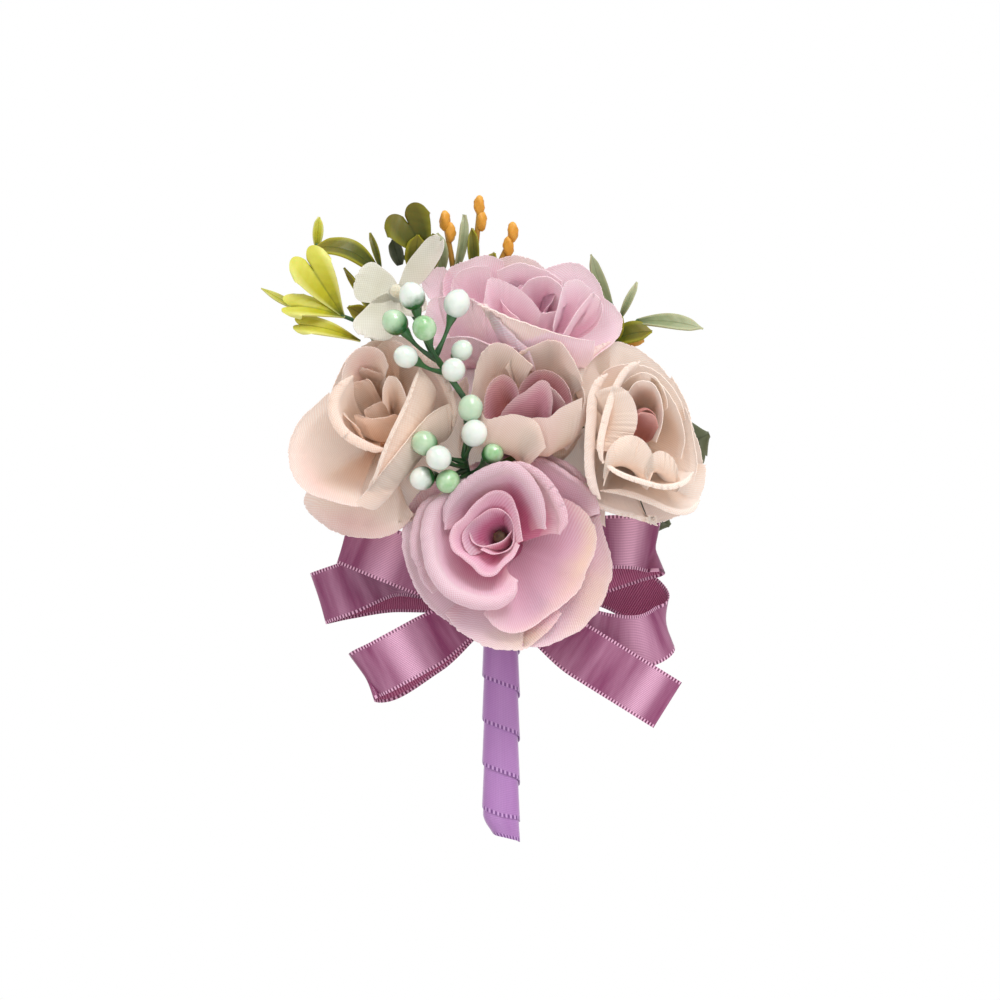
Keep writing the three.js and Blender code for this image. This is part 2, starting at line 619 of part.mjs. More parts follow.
// Sprigs: a wire stem to a first place, twigs onwards from it, leaves at the twigs' ends and small knobs
const sprigs = [
  {
    name: "sprig_left",
    material: limePlastic,
    slot: slotAt(2, 150),
    rise: 20,
    reach: 10,
    heading: [-0.8, 0, 0.6],
    atShares: [-0.265, -0.069, 0.717],
    twigShares: [
      [[-0.265, -0.069, 0.717], [-0.361, -0.111, 0.75]],
      [[-0.265, -0.069, 0.717], [-0.293, -0.083, 0.7]],
      [[-0.265, -0.069, 0.717], [-0.294, -0.056, 0.859]],
      [[-0.294, -0.056, 0.854], [-0.419, -0.033, 0.896]],
    ],
    leaves: [
      {
        baseShares: [-0.357, -0.111, 0.749], tipShares: [-0.465, -0.167, 0.876],
        widthShare: 1, outline: "heart", notch: 0.16, arch: 0.06,
      },
      {
        baseShares: [-0.352, -0.111, 0.747], tipShares: [-0.542, -0.083, 0.805],
        widthShare: 0.2, facing: [0, -0.4, 1], arch: -0.08,
      },
      {
        baseShares: [-0.357, -0.111, 0.747], tipShares: [-0.494, -0.167, 0.752],
        widthShare: 0.57, outline: "oval", facing: [0, -0.7, 0.7],
      },
      {
        baseShares: [-0.284, -0.083, 0.705], tipShares: [-0.467, -0.139, 0.724],
        widthShare: 0.45, outline: "oval", facing: [0, -0.7, 0.7], arch: 0.08,
      },
      {
        baseShares: [-0.287, -0.056, 0.854], tipShares: [-0.422, -0.083, 0.891],
        widthShare: 0.55, outline: "oval", facing: [0.1, -0.6, 0.8], arch: 0.22,
      },
      {
        baseShares: [-0.417, -0.033, 0.889], tipShares: [-0.412, -0.028, 0.952],
        widthShare: 0.25, arch: 0.05,
      },
      { baseShares: [-0.292, -0.056, 0.848], tipShares: [-0.301, -0.028, 0.915], widthShare: 0.15 },
      { baseShares: [-0.267, -0.069, 0.724], tipShares: [-0.355, -0.042, 0.848], widthShare: 0.17 },
      {
        baseShares: [-0.265, -0.083, 0.717], tipShares: [-0.345, -0.183, 0.766],
        widthShare: 0.42, outline: "oval", facing: [0.3, -1, 0.2],
      },
    ],
  },
  {
    name: "sprig_top",
    material: olivePlastic,
    slot: slotAt(1, 120),
    rise: 30,
    reach: 8,
    heading: [-0.1, 0, 1],
    atShares: [-0.169, 0.028, 0.848],
    twigShares: [
      [[-0.169, 0.028, 0.848], [-0.176, 0, 0.891]],
      [[-0.169, 0.028, 0.848], [-0.243, 0, 0.88]],
      [[-0.169, 0.028, 0.848], [-0.133, 0.028, 0.846]],
      [[-0.169, 0.028, 0.848], [-0.205, 0.017, 0.859]],
    ],
    leaves: [
      {
        baseShares: [-0.171, 0, 0.88], tipShares: [-0.236, -0.056, 0.967],
        widthShare: 1.05, outline: "heart", notch: 0.18, arch: 0.06,
      },
      {
        baseShares: [-0.205, 0.014, 0.854], tipShares: [-0.195, -0.056, 0.92],
        widthShare: 0.4, outline: "oval",
      },
      {
        baseShares: [-0.164, 0.014, 0.854], tipShares: [-0.154, -0.028, 0.917],
        widthShare: 0.38, outline: "oval",
      },
      {
        baseShares: [-0.135, 0.028, 0.843], tipShares: [-0.145, 0, 0.92],
        widthShare: 0.35, outline: "oval", facing: [0.3, -1, 0],
      },
      { baseShares: [-0.234, 0, 0.87], tipShares: [-0.246, 0, 0.902], widthShare: 0.3, outline: "oval" },
    ],
  },
  {
    name: "sprig_tips",
    material: orangePlastic,
    slot: slotAt(2, 90),
    rise: 20,
    reach: 30,
    heading: [-0.05, 0, 1],
    atShares: [-0.048, 0.069, 0.804],
    twigShares: [
      [[-0.048, 0.069, 0.804], [-0.111, 0.056, 0.848]],
      [[-0.107, 0.056, 0.843], [-0.125, 0.042, 0.935]],
      [[-0.048, 0.069, 0.804], [-0.06, 0.069, 0.87]],
      [[-0.06, 0.069, 0.865], [-0.049, 0.056, 0.967]],
      [[-0.048, 0.069, 0.804], [-0.005, 0.069, 0.854]],
      [[-0.007, 0.069, 0.85], [0.024, 0.056, 0.913]],
    ],
    leaves: [
      {
        baseShares: [-0.104, 0.056, 0.841], tipShares: [-0.083, 0.056, 0.959],
        widthShare: 0.25, facing: [0.5, -1, 0],
      },
      { baseShares: [-0.06, 0.069, 0.843], tipShares: [-0.065, 0.028, 0.93], widthShare: 0.28 },
      {
        baseShares: [-0.048, 0.069, 0.815], tipShares: [-0.014, 0.042, 0.88],
        widthShare: 0.38, outline: "oval",
      },
    ],
    knobShares: [
      [-0.128, 0.039, 0.946], [-0.116, 0.039, 0.922], [-0.049, 0.056, 0.977],
      [-0.045, 0.056, 0.946], [0.027, 0.056, 0.923], [0.017, 0.056, 0.893],
    ],
  },
  {
    name: "sprig_right",
    material: olivePlastic,
    slot: slotAt(1, 0),
    rise: 24,
    reach: 8,
    heading: [0.75, 0, 0.65],
    atShares: [0.247, 0.056, 0.696],
    twigShares: [
      [[0.247, 0.056, 0.696], [0.275, 0.028, 0.754]],
      [[0.247, 0.056, 0.696], [0.313, 0.028, 0.742]],
      [[0.267, 0.033, 0.739], [0.248, 0.028, 0.778]],
    ],
    leaves: [
      {
        baseShares: [0.249, 0.028, 0.77], tipShares: [0.204, 0, 0.876],
        widthShare: 0.33, facing: [0.3, -1, 0.2], arch: -0.1,
      },
      { baseShares: [0.27, 0.028, 0.746], tipShares: [0.308, 0, 0.82], widthShare: 0.19 },
      {
        baseShares: [0.306, 0.028, 0.738], tipShares: [0.458, 0, 0.724],
        widthShare: 0.4, facing: [0, -0.8, 0.6], arch: 0.08,
      },
      {
        baseShares: [0.243, 0.042, 0.691], tipShares: [0.342, -0.028, 0.717],
        widthShare: 0.68, outline: "oval", facing: [0, -0.7, 0.7],
      },
      {
        baseShares: [0.246, 0.042, 0.693], tipShares: [0.258, -0.028, 0.765],
        widthShare: 0.55, outline: "oval",
      },
      {
        baseShares: [0.243, 0.056, 0.693], tipShares: [0.325, 0.069, 0.7],
        widthShare: 0.25, outline: "oval",
      },
    ],
  },
  {
    name: "rose_leaf_spray",
    material: darkLeaf,
    slot: slotAt(2, 30),
    rise: 6,
    reach: 8,
    heading: [0.9, 0.1, 0.35],
    atShares: [0.241, 0.069, 0.391],
    twigShares: [
      [[0.241, 0.069, 0.391], [0.313, 0.069, 0.443]],
      [[0.241, 0.069, 0.391], [0.267, 0.056, 0.37]],
    ],
    leaves: [
      {
        baseShares: [0.301, 0.069, 0.435], tipShares: [0.47, 0, 0.507],
        widthShare: 1.38, outline: "oval", arch: 0.06,
      },
      {
        baseShares: [0.258, 0.061, 0.378], tipShares: [0.393, 0, 0.309],
        widthShare: 1, outline: "oval", arch: 0.06,
      },
      {
        baseShares: [0.239, 0.069, 0.391], tipShares: [0.181, 0.056, 0.511],
        widthShare: 0.75, outline: "oval", arch: 0.06,
      },
    ],
  },
];

function sprig(plan, grown) {
  const at = place(plan.atShares);
  const heading = vec(...plan.heading).normalize();
  const top = at.clone().addScaledVector(heading, sink);
  const stem = wireAlong(plan.slot, top, heading, plan.rise, plan.reach, sink * 2, grown);
  const twigs = plan.twigShares.map(([from, to]) => twigBetween(place(from), place(to), grown));
  const knobs = (plan.knobShares ?? []).map((shares) =>
    new THREE.SphereGeometry(knob.radius + grown, 5, 4)
      .scale(1, 1, knob.stretch)
      .translate(...place(shares).toArray()),
  );
  return join([stem, ...twigs, ...plan.leaves.map((each) => leaf(each, grown)), ...knobs]);
}

// The white blossom: each petal has its turn in degrees, its length and its half width
const blossom = {
  atShares: [-0.229, -0.361, 0.789],
  axis: [-0.2, -0.95, 0.25],
  slot: slotAt(1, 180),
  rise: 26,
  reach: 8,
  hubRadius: 1.8,
  petals: [[165, 8, 4.2], [50, 11.5, 3.6], [232, 11.5, 4.6], [-35, 8, 4]],
  thickness: 0.5,
  beadRadius: 1.2,
};

function blossomPetals(grown) {
  const bore = wire.diameter / 2 + clearance - grown;
  const disc = ring(bore, blossom.hubRadius + grown, -grown, hub.thickness + grown, peg.facets);
  const petals = blossom.petals.map(([turn, length, half]) => {
    const at = (u, v) => {
      const reach = blossom.hubRadius - sink * 2 + length * v;
      const lift = hub.thickness / 2 + 0.3 * length * v * v - 0.12 * half * Math.cos(u * 3) * v;
      return vec(reach, u * half * petalOutline(v), lift).applyAxisAngle(up, radians(turn));
    };
    return sheet(at, blossom.thickness, 3, 3, grown);
  });
  return join([disc, ...petals]);
}

function blossomBead(grown) {
  const height = hub.thickness + clearance + blossom.beadRadius;
  return new THREE.SphereGeometry(blossom.beadRadius + grown, 7, 5).translate(0, 0, height);
}

function blossomWire(grown) {
  const axis = vec(...blossom.axis).normalize();
  const target = place(blossom.atShares).addScaledVector(axis, hub.thickness);
  return wireAlong(blossom.slot, target, axis, blossom.rise, blossom.reach, hub.thickness * 3, grown);
}

// The wrap: one ribbon wound down the stem, each turn lapping over the top of the turn below it
function wrapPoint(turns, across, depth) {
  const middle = wrap.frontSeam + wrapSpan / 2 - wrap.pitch * turns;
  const height = middle + across * wrapSpan;
  const taper = smooth((wrap.taperStart - height) / wrap.taperLength);
  const core = wrapInner * (1 - (1 - wrap.tipShare) * taper);
  const reach = core + wrapSlant * (0.5 - across) + depth;
  const angle = 2 * Math.PI * turns - Math.PI / 2;
  const [c, s] = [Math.cos(angle), Math.sin(angle)];
  const square = (Math.abs(c) ** wrap.squareness + Math.abs(s) ** wrap.squareness) ** (-1 / wrap.squareness);
  return vec(reach * square * c + wrap.tipShift * taper, reach * square * s, height);
}

const wrapRows = Math.round((wrap.turnsAbove + wrap.turnsBelow) * wrap.stepsPerTurn);

function stemWrap() {
  const rings = Array.from({ length: wrapRows + 1 }, (_, i) => {
    const turns = i / wrap.stepsPerTurn - wrap.turnsAbove;
    return [
      wrapPoint(turns, 0.5, 0),
      wrapPoint(turns, -0.5, 0),
      wrapPoint(turns, -0.5, ribbon.thickness),
      wrapPoint(turns, 0.5, ribbon.thickness),
    ];
  });
  return skin(rings);
}

// The least gap between a turn's inner face and the turn that it laps over, on points along the wrap.
function leastWrapGap() {
  let least = Infinity;
  for (let i = 0; i + wrap.stepsPerTurn <= wrapRows; i++) {
    const turns = i / wrap.stepsPerTurn - wrap.turnsAbove;
    for (const across of [-0.5, -0.45, -0.4]) {
      const over = wrapPoint(turns, across, 0);
      for (let share = 0.2; share <= 0.5; share += 0.05)
        least = Math.min(least, over.distanceTo(wrapPoint(turns + 1, share, ribbon.thickness)));
    }
  }
  return least;
}

// The bow: one ribbon folded to and fro through a centre band
const bow = {
  height: 15.6, // of the centre band above the brooch
  layerPitch: 0.8, // from one pass through the band to the next
  pinchShare: 0.6, // of the ribbon's width, in the band
  flatReach: 3, // to each side of the band the passes lie flat
  stepsPerPiece: 2,
};
const band = { width: 3, thickness: 0.5 };
const bowBack = wrapOuter + clearance + band.thickness + clearance; // in front of the stem's axis
// Each loop: its end as shares of the spread, then as shares of the ribbon's width how far its fold stands in
// front of the stem's axis, the fold's half depth, and how far its back strip is shifted from the front one
const loops = [
  { endShares: [-0.414, 0.173], frontShare: 0.05, foldShare: 0.3, shiftShare: -0.3 },
  { endShares: [0.381, 0.118], frontShare: 0.15, foldShare: 0.44, shiftShare: 0.7 },
  { endShares: [-0.357, 0.3], frontShare: 0.7, foldShare: 0.19, shiftShare: 0 },
  { endShares: [0.348, 0.285], frontShare: 0.7, foldShare: 0.19, shiftShare: 0 },
  { endShares: [-0.306, 0.018], frontShare: 0.96, foldShare: 0.3, shiftShare: -0.2 },
];
const tail = { endShares: [0.373, -0.041], frontShare: 0.95 };

// Stations along the ribbon: a place, the direction across the ribbon and the share of its width there.
function bowStations() {
  const stations = [];
  const layerDepth = (layer) => -(bowBack + ribbon.thickness / 2 + layer * bow.layerPitch);
  const centre = vec(0, 0, bow.height);
  const endOf = ({ endShares: [x, z] }) => place([x, 0, z]);
  const heading = (piece) => endOf(piece).sub(centre).normalize();
  const sideOf = (out) => vec(-out.z, 0, out.x).multiplyScalar(Math.sign(out.x));
  const crossing = (side, layer, out) => {
    const reach = side * Math.sign(out.x) * bow.flatReach;
    const point = centre.clone().addScaledVector(out, reach).setY(layerDepth(layer));
    stations.push({ point, across: sideOf(out), share: bow.pinchShare });
  };
  const first = heading(loops[0]);
  crossing(-Math.sign(first.x), 0, first);
  loops.forEach((loop, layer) => {
    const out = heading(loop);
    const across = sideOf(out);
    const length = endOf(loop).distanceTo(centre);
    const shares = [loop.frontShare, loop.foldShare, loop.shiftShare];
    const [front, fold, shift] = shares.map((share) => share * ribbon.width);
    const put = (share, depth, shift) => {
      const point = centre.clone().addScaledVector(out, length * share).addScaledVector(across, shift);
      stations.push({ point: point.setY(-depth), across: across.clone(), share: 1 });
    };
    crossing(Math.sign(out.x), layer, out);
    put(0.55, (front - fold) * 0.8 + bowBack * 0.2, shift * 0.7);
    put(0.86, front - fold, shift);
    put(1, front, shift * 0.5);
    put(0.86, front + fold, 0);
    put(0.55, front + fold * 1.1, 0);
    crossing(Math.sign(out.x), layer + 1, out);
  });
  const out = heading(tail);
  crossing(1, loops.length, out);
  const length = endOf(tail).distanceTo(centre);
  for (const [share, liftShare] of [[0.5, 0.15], [0.8, 0.05], [1, 0]]) {
    const depth = (tail.frontShare + liftShare) * ribbon.width;
    const point = centre.clone().addScaledVector(out, length * share).setY(-depth);
    stations.push({ point, across: sideOf(out), share: 1 });
  }
  return stations;
}

function bowRibbon(grown) {
  const stations = bowStations();
  const line = new THREE.CatmullRomCurve3(stations.map((s) => s.point));
  const sides = new THREE.CatmullRomCurve3(stations.map((s) => s.across));
  const at = (u, v) => {
    const piece = v * (stations.length - 1);
    const low = Math.min(stations.length - 2, Math.floor(piece));
    const share = THREE.MathUtils.lerp(stations[low].share, stations[low + 1].share, smooth(piece - low));
    const tangent = line.getTangent(v);
    const across = sides.getPoint(v);
    across.addScaledVector(tangent, -across.dot(tangent)).normalize();
    return line.getPoint(v).addScaledVector(across, (u * share * ribbon.width) / 2);
  };
  return sheet(at, ribbon.thickness, 1, (stations.length - 1) * bow.stepsPerPiece, grown);
}

function bowBand(grown) {
  const depth = loops.length * bow.layerPitch + ribbon.thickness + 2 * clearance;
  const height = ribbon.width * bow.pinchShare * 1.7;
  const outline = (near, far, half) =>
    [[near, -half], [near, half], [far, half], [far, -half]].map(([y, z]) => new THREE.Vector2(-y, z));
  const near = bowBack - clearance;
  const rim = band.thickness + grown;
  const shape = new THREE.Shape(outline(near - rim, near + depth + rim, height / 2 + rim));
  if (!grown) shape.holes.push(new THREE.Path(outline(near, near + depth, height / 2)));
  return new THREE.ExtrudeGeometry(shape, { depth: band.width + 2 * grown, bevelEnabled: false })
    .translate(0, 0, -band.width / 2 - grown)
    .rotateX(Math.PI / 2)
    .rotateZ(Math.PI / 2)
    .translate(0, 0, bow.height);
}

// The brooch: a bar with two ears and a catch, a riveted pin arm and a turning lock
const bar = { length: 32, width: 5, thickness: 0.7, holeRadius: 1, holeAt: 8 };
const gluePad = { thickness: 0.6, length: 26 };
const ears = { thickness: 0.6, gap: 1.5, height: 4.6, depth: 3, fromEnd: 2 };
const rivet = { radius: 0.5, headRadius: 1, headThickness: 0.4, gap: 0.08, facets: 10 };
const pinArm = { radius: 0.45, facets: 8, knuckle: 1.2, pointLength: 5, height: 3.6 };
const catchBlock = { length: 3, outer: 2.2, mouth: 1.5, fromEnd: 3.4, facets: 12 };
const lock = {
  outer: 1.5,
  bore: 0.8,
  mouth: 1.2,
  tabLength: 2.2,
  tabWidth: 1.1,
  tabThickness: 0.6,
  gap: 0.08,
};

// How far the stem's axis stands in front of the origin
const stemDepth = bar.thickness + gluePad.thickness + wrapOuter + 2 * clearance;
const hingeHeight = bar.length / 2 - ears.fromEnd - ears.depth / 2;
const catchHeight = -bar.length / 2 + catchBlock.fromEnd;

const block = (x, y, z) => new THREE.BoxGeometry(x, y, z);
const drum = (radius, length, facets) => new THREE.CylinderGeometry(radius, radius, length, facets);
const bushing = (length) => drum(rivet.radius + rivet.gap, length, rivet.facets).rotateZ(Math.PI / 2);

function broochBar() {
  let solid = solidOf(block(bar.width, bar.thickness, bar.length).translate(0, -bar.thickness / 2, 0));
  for (const side of [-1, 1]) {
    const x = (side * (ears.gap + ears.thickness)) / 2;
    const post = block(ears.thickness, ears.height + sink, ears.depth);
    post.translate(x, (ears.height - sink) / 2, hingeHeight);
    const hole = bushing(ears.thickness + 2 * overrun).translate(x, pinArm.height, hingeHeight);
    const screwHole = drum(bar.holeRadius, bar.thickness + 2 * overrun, rivet.facets);
    solid = solid
      .add(solidOf(post))
      .subtract(solidOf(hole))
      .subtract(solidOf(screwHole.translate(0, -bar.thickness / 2, side * bar.holeAt)));
  }
  const housing = drum(catchBlock.outer, catchBlock.length, catchBlock.facets).rotateX(Math.PI / 2);
  const { outer, length, facets } = catchBlock;
  const foot = block(outer, pinArm.height, length).translate(0, -pinArm.height / 2 - sink, 0);
  const bore = drum(lock.outer + lock.gap, length + 2 * overrun, facets).rotateX(Math.PI / 2);
  const mouth = block(catchBlock.mouth, 2 * outer, length + 2 * overrun).translate(0, outer, 0);
  const holder = solidOf(housing).add(solidOf(foot)).subtract(solidOf(bore)).subtract(solidOf(mouth));
  return solid.add(holder.translate(0, pinArm.height, catchHeight));
}

function broochRivet() {
  const half = ears.gap / 2 + ears.thickness + rivet.gap;
  const { radius, headRadius, headThickness } = rivet;
  const profile = [
    [0, -half - headThickness],
    [headRadius, -half - headThickness],
    [headRadius, -half],
    [radius, -half],
    [radius, half],
    [headRadius, half],
    [headRadius, half + headThickness],
    [0, half + headThickness],
  ];
  return lathe(profile, rivet.facets).rotateY(Math.PI / 2).translate(0, pinArm.height, hingeHeight);
}

function broochPin() {
  const reach = hingeHeight - catchHeight + catchBlock.length / 2 + overrun;
  const knuckle = drum(pinArm.knuckle, ears.gap - 2 * clearance, rivet.facets).rotateZ(Math.PI / 2);
  const profile = [
    [0, 0],
    [pinArm.radius, 0],
    [pinArm.radius, reach - pinArm.pointLength],
    [pinArm.radius * 0.3, reach - sink],
    [0, reach],
  ];
  const shaft = lathe(profile, pinArm.facets).rotateX(Math.PI);
  const hole = bushing(ears.gap + 2 * overrun);
  const arm = solidOf(knuckle).add(solidOf(shaft)).subtract(solidOf(hole));
  return arm.translate(0, pinArm.height, hingeHeight);
}

// The lock stands open, with its mouth in line with the catch's, and turns to shut the pin in.
function broochLock() {
  const length = catchBlock.length + 2 * clearance + lock.tabThickness;
  const middle = catchHeight + (length - catchBlock.length) / 2;
  const barrel = drum(lock.outer, length, catchBlock.facets).rotateX(Math.PI / 2);
  const bore = drum(lock.bore, length + 2 * overrun, catchBlock.facets).rotateX(Math.PI / 2);
  const mouth = block(lock.mouth, 2 * lock.outer, length + 2 * overrun).translate(0, lock.outer, 0);
  const tab = block(lock.tabLength, lock.tabWidth, lock.tabThickness);
  tab.translate(lock.outer + lock.tabLength / 2 - sink, 0, (length - lock.tabThickness) / 2);
  const turned = solidOf(barrel).subtract(solidOf(bore)).subtract(solidOf(mouth)).add(solidOf(tab));
  return turned.translate(0, pinArm.height, middle);
}

// Pieces in front of the stem's axis, in the order in which they keep their shape. A piece that is trimmed
// is cut back from everything before it, and what is cut off it is left out.
const pieces = [];
const add = (group, name, material, make, trimmed = false) =>
  pieces.push({ group, name, material, make, trimmed });
const inFrame = (flower, shape) =>
  (shape.isBufferGeometry ? solidOf(shape) : shape).transform(flowerFrame(flower).elements);
const asSolid = (shape) => (shape.isBufferGeometry ? solidOf(shape) : shape);

add("stem", "stem_tape", greenTape, (grown) =>
  ring(tapeInner - grown, tapeOuter + grown, tape.bottom, tape.top, tape.facets),
);
add("stem", "stem_wrap", violetSatin, (grown) =>
  grown
    ? drum(wrapOuter + grown, wrap.turnsAbove * wrap.pitch * 2, tape.facets).rotateX(Math.PI / 2)
    : stemWrap(),
);
add("bow", "bow_band", mauveSatin, bowBand);
add("bow", "bow_ribbon", mauveSatin, bowRibbon);
for (const flower of flowers)
  add(flower.name, `${flower.name}_wire`, greenPlastic, (grown) => flowerWire(flower, grown));
add("blossom", "blossom_wire", greenPlastic, blossomWire);
for (const spray of berrySprays) add("berries", spray.name, berryPaint, (grown) => berrySpray(spray, grown));
for (const plan of sprigs) add("leaves", plan.name, plan.material, (grown) => sprig(plan, grown), true);
add("blossom", "blossom_bead", berryPaint, (grown) => inFrame(blossom, blossomBead(grown)));
for (const flower of flowers) {
  const count = Object.keys(flower.layers).length;
  add(flower.name, `${flower.name}_peg`, greenPlastic, (grown) => inFrame(flower, flowerPeg(count, grown)));
}
for (const flower of flowers)
  Object.entries(flower.layers).forEach(([kind, layer], level) => {
    const cloth = kind === "inner" && flower.innerCloth ? flower.innerCloth : flower.cloth;
    const make = (grown) => inFrame(flower, petalLayer(flower, layer, level, grown));
    add(flower.name, `${flower.name}_petals_${kind}`, cloth, make, true);
  });
for (const flower of flowers) {
  const calyxOf = (grown) => inFrame(flower, flowerCalyx(grown));
  add(flower.name, `${flower.name}_calyx`, greenPlastic, calyxOf, true);
}
add("blossom", "blossom_petals", creamCloth, (grown) => inFrame(blossom, blossomPetals(grown)), true);

const apart = (a, b) => [0, 1, 2].some((k) => a.max[k] < b.min[k] || b.max[k] < a.min[k]);
const larger = (best, next) => (next.volume() > best.volume() ? next : best);
const largest = (solid) => solid.decompose().reduce(larger);

const corsage = new THREE.Group();
const bouquet = new THREE.Group();
bouquet.position.set(0, -stemDepth, 0);
corsage.add(bouquet);

const tools = [];
for (const piece of pieces) {
  let solid = asSolid(piece.make(0));
  if (piece.trimmed) {
    for (const tool of tools)
      if (!apart(solid.boundingBox(), tool.boundingBox())) solid = solid.subtract(tool);
    solid = largest(solid.simplify(tidyTolerance));
  }
  tools.push(asSolid(piece.make(cutGap)));
  let group = bouquet.children.find((child) => child.name === piece.group);
  if (!group) {
    group = new THREE.Group();
    group.name = piece.group;
    bouquet.add(group);
  }
  group.add(mesh(piece.name, solid, piece.material));
}

const brooch = new THREE.Group();
brooch.name = "brooch";
corsage.add(brooch);
const pad = block(bar.width, gluePad.thickness, gluePad.length);
brooch.add(
  mesh("brooch_glue_pad", pad.translate(0, -bar.thickness - clearance - gluePad.thickness / 2, 0), glue),
  mesh("brooch_bar", broochBar(), nickel),
  mesh("brooch_rivet", broochRivet(), nickel),
  mesh("brooch_pin", broochPin(), nickel),
  mesh("brooch_lock", broochLock(), nickel),
);

console.log("least gap of the wrap to itself: " + leastWrapGap().toFixed(2) + " mm");

export default corsage;
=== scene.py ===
"""Looks of a pin-on corsage: cloth roses, berries and leaves, a satin bow and a ribbon-wrapped stem.

Shapes are made in millimetres about the stem's axis, with the front towards -Y. They go into the part's
frame, in metres, when their mesh is made.
"""

import math

import bpy
import numpy as np
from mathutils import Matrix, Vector


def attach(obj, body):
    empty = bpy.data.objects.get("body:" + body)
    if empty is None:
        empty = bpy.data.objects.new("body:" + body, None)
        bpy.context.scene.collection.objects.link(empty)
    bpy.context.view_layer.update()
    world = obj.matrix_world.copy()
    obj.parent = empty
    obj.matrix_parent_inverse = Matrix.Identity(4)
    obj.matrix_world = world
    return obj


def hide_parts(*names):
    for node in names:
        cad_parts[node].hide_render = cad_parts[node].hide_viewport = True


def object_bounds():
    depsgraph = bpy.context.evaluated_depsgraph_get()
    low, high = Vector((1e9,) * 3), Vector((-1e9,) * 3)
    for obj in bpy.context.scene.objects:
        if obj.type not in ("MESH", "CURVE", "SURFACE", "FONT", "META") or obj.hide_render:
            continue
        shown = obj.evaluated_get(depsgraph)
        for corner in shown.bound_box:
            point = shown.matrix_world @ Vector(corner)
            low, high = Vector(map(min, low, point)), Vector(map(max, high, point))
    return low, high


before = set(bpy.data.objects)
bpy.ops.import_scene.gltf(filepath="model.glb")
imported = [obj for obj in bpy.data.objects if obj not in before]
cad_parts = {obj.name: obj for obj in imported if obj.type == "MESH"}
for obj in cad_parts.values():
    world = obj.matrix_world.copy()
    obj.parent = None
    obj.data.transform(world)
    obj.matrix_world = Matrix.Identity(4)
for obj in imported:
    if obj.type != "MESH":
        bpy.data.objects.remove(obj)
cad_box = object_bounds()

TURN = 2 * math.pi
MM = 0.001


# Small sums


def smooth(x):
    x = np.clip(x, 0, 1)
    return x * x * (3 - 2 * x)


def unit(v):
    v = np.asarray(v, float)
    return v / (np.linalg.norm(v, axis=-1, keepdims=True) + 1e-12)


def grid(across, along):
    """Places across, from -1 to 1, and along, from 0 to 1, in so many steps."""
    return np.meshgrid(np.linspace(-1, 1, across + 1), np.linspace(0, 1, along + 1))


def together(*parts):
    """Numbers and arrays side by side in a last axis."""
    return np.stack(np.broadcast_arrays(*parts), axis=-1)


def turned(x, y, z, angle):
    """Points turned about +Z."""
    c, s = math.cos(angle), math.sin(angle)
    return together(x * c - y * s, x * s + y * c, z)


def run_along(line):
    """How long a line is up to each of its points."""
    return np.concatenate([[0], np.cumsum(np.linalg.norm(np.diff(line, axis=0), axis=1))])


def bezier(points, t):
    """Points and unit tangents of a cubic Bezier curve at the shares t."""
    a, b, c, d = (np.asarray(p, float) for p in points)
    t = np.asarray(t)[..., None]
    s = 1 - t
    at = s**3 * a + 3 * s * s * t * b + 3 * s * t * t * c + t**3 * d
    return at, unit(3 * s * s * (b - a) + 6 * s * t * (c - b) + 3 * t * t * (d - c))


def through(points, t):
    """A centripetal Catmull-Rom curve through the points, at the shares t."""
    p = np.asarray(points, float)
    p = np.vstack([2 * p[0] - p[1], p, 2 * p[-1] - p[-2]])
    place = np.clip(t, 0, 1) * (len(p) - 3)
    i = np.minimum(place.astype(int), len(p) - 4)
    w = (place - i)[:, None]
    a, b, c, d = p[i], p[i + 1], p[i + 2], p[i + 3]
    gaps = [np.sqrt(np.linalg.norm(y - x, axis=1))[:, None] for x, y in ((a, b), (b, c), (c, d))]
    k = np.where(gaps[1] < 1e-4, 1, gaps[1])
    j, m = (np.where(g < 1e-4, k, g) for g in (gaps[0], gaps[2]))
    e = ((b - a) / j - (c - a) / (j + k) + (c - b) / k) * k
    f = ((c - b) / k - (d - b) / (k + m) + (d - c) / m) * k
    return b + e * w + (3 * (c - b) - 2 * e - f) * w**2 + (2 * (b - c) + e + f) * w**3


def linear(rgb):
    """A colour written as 0 to 255 sRGB, in the linear values that Blender takes."""
    c = np.asarray(rgb, float) / 255
    return (*np.where(c <= 0.04045, c / 12.92, ((c + 0.055) / 1.055) ** 2.4), 1.0)


# Meshes


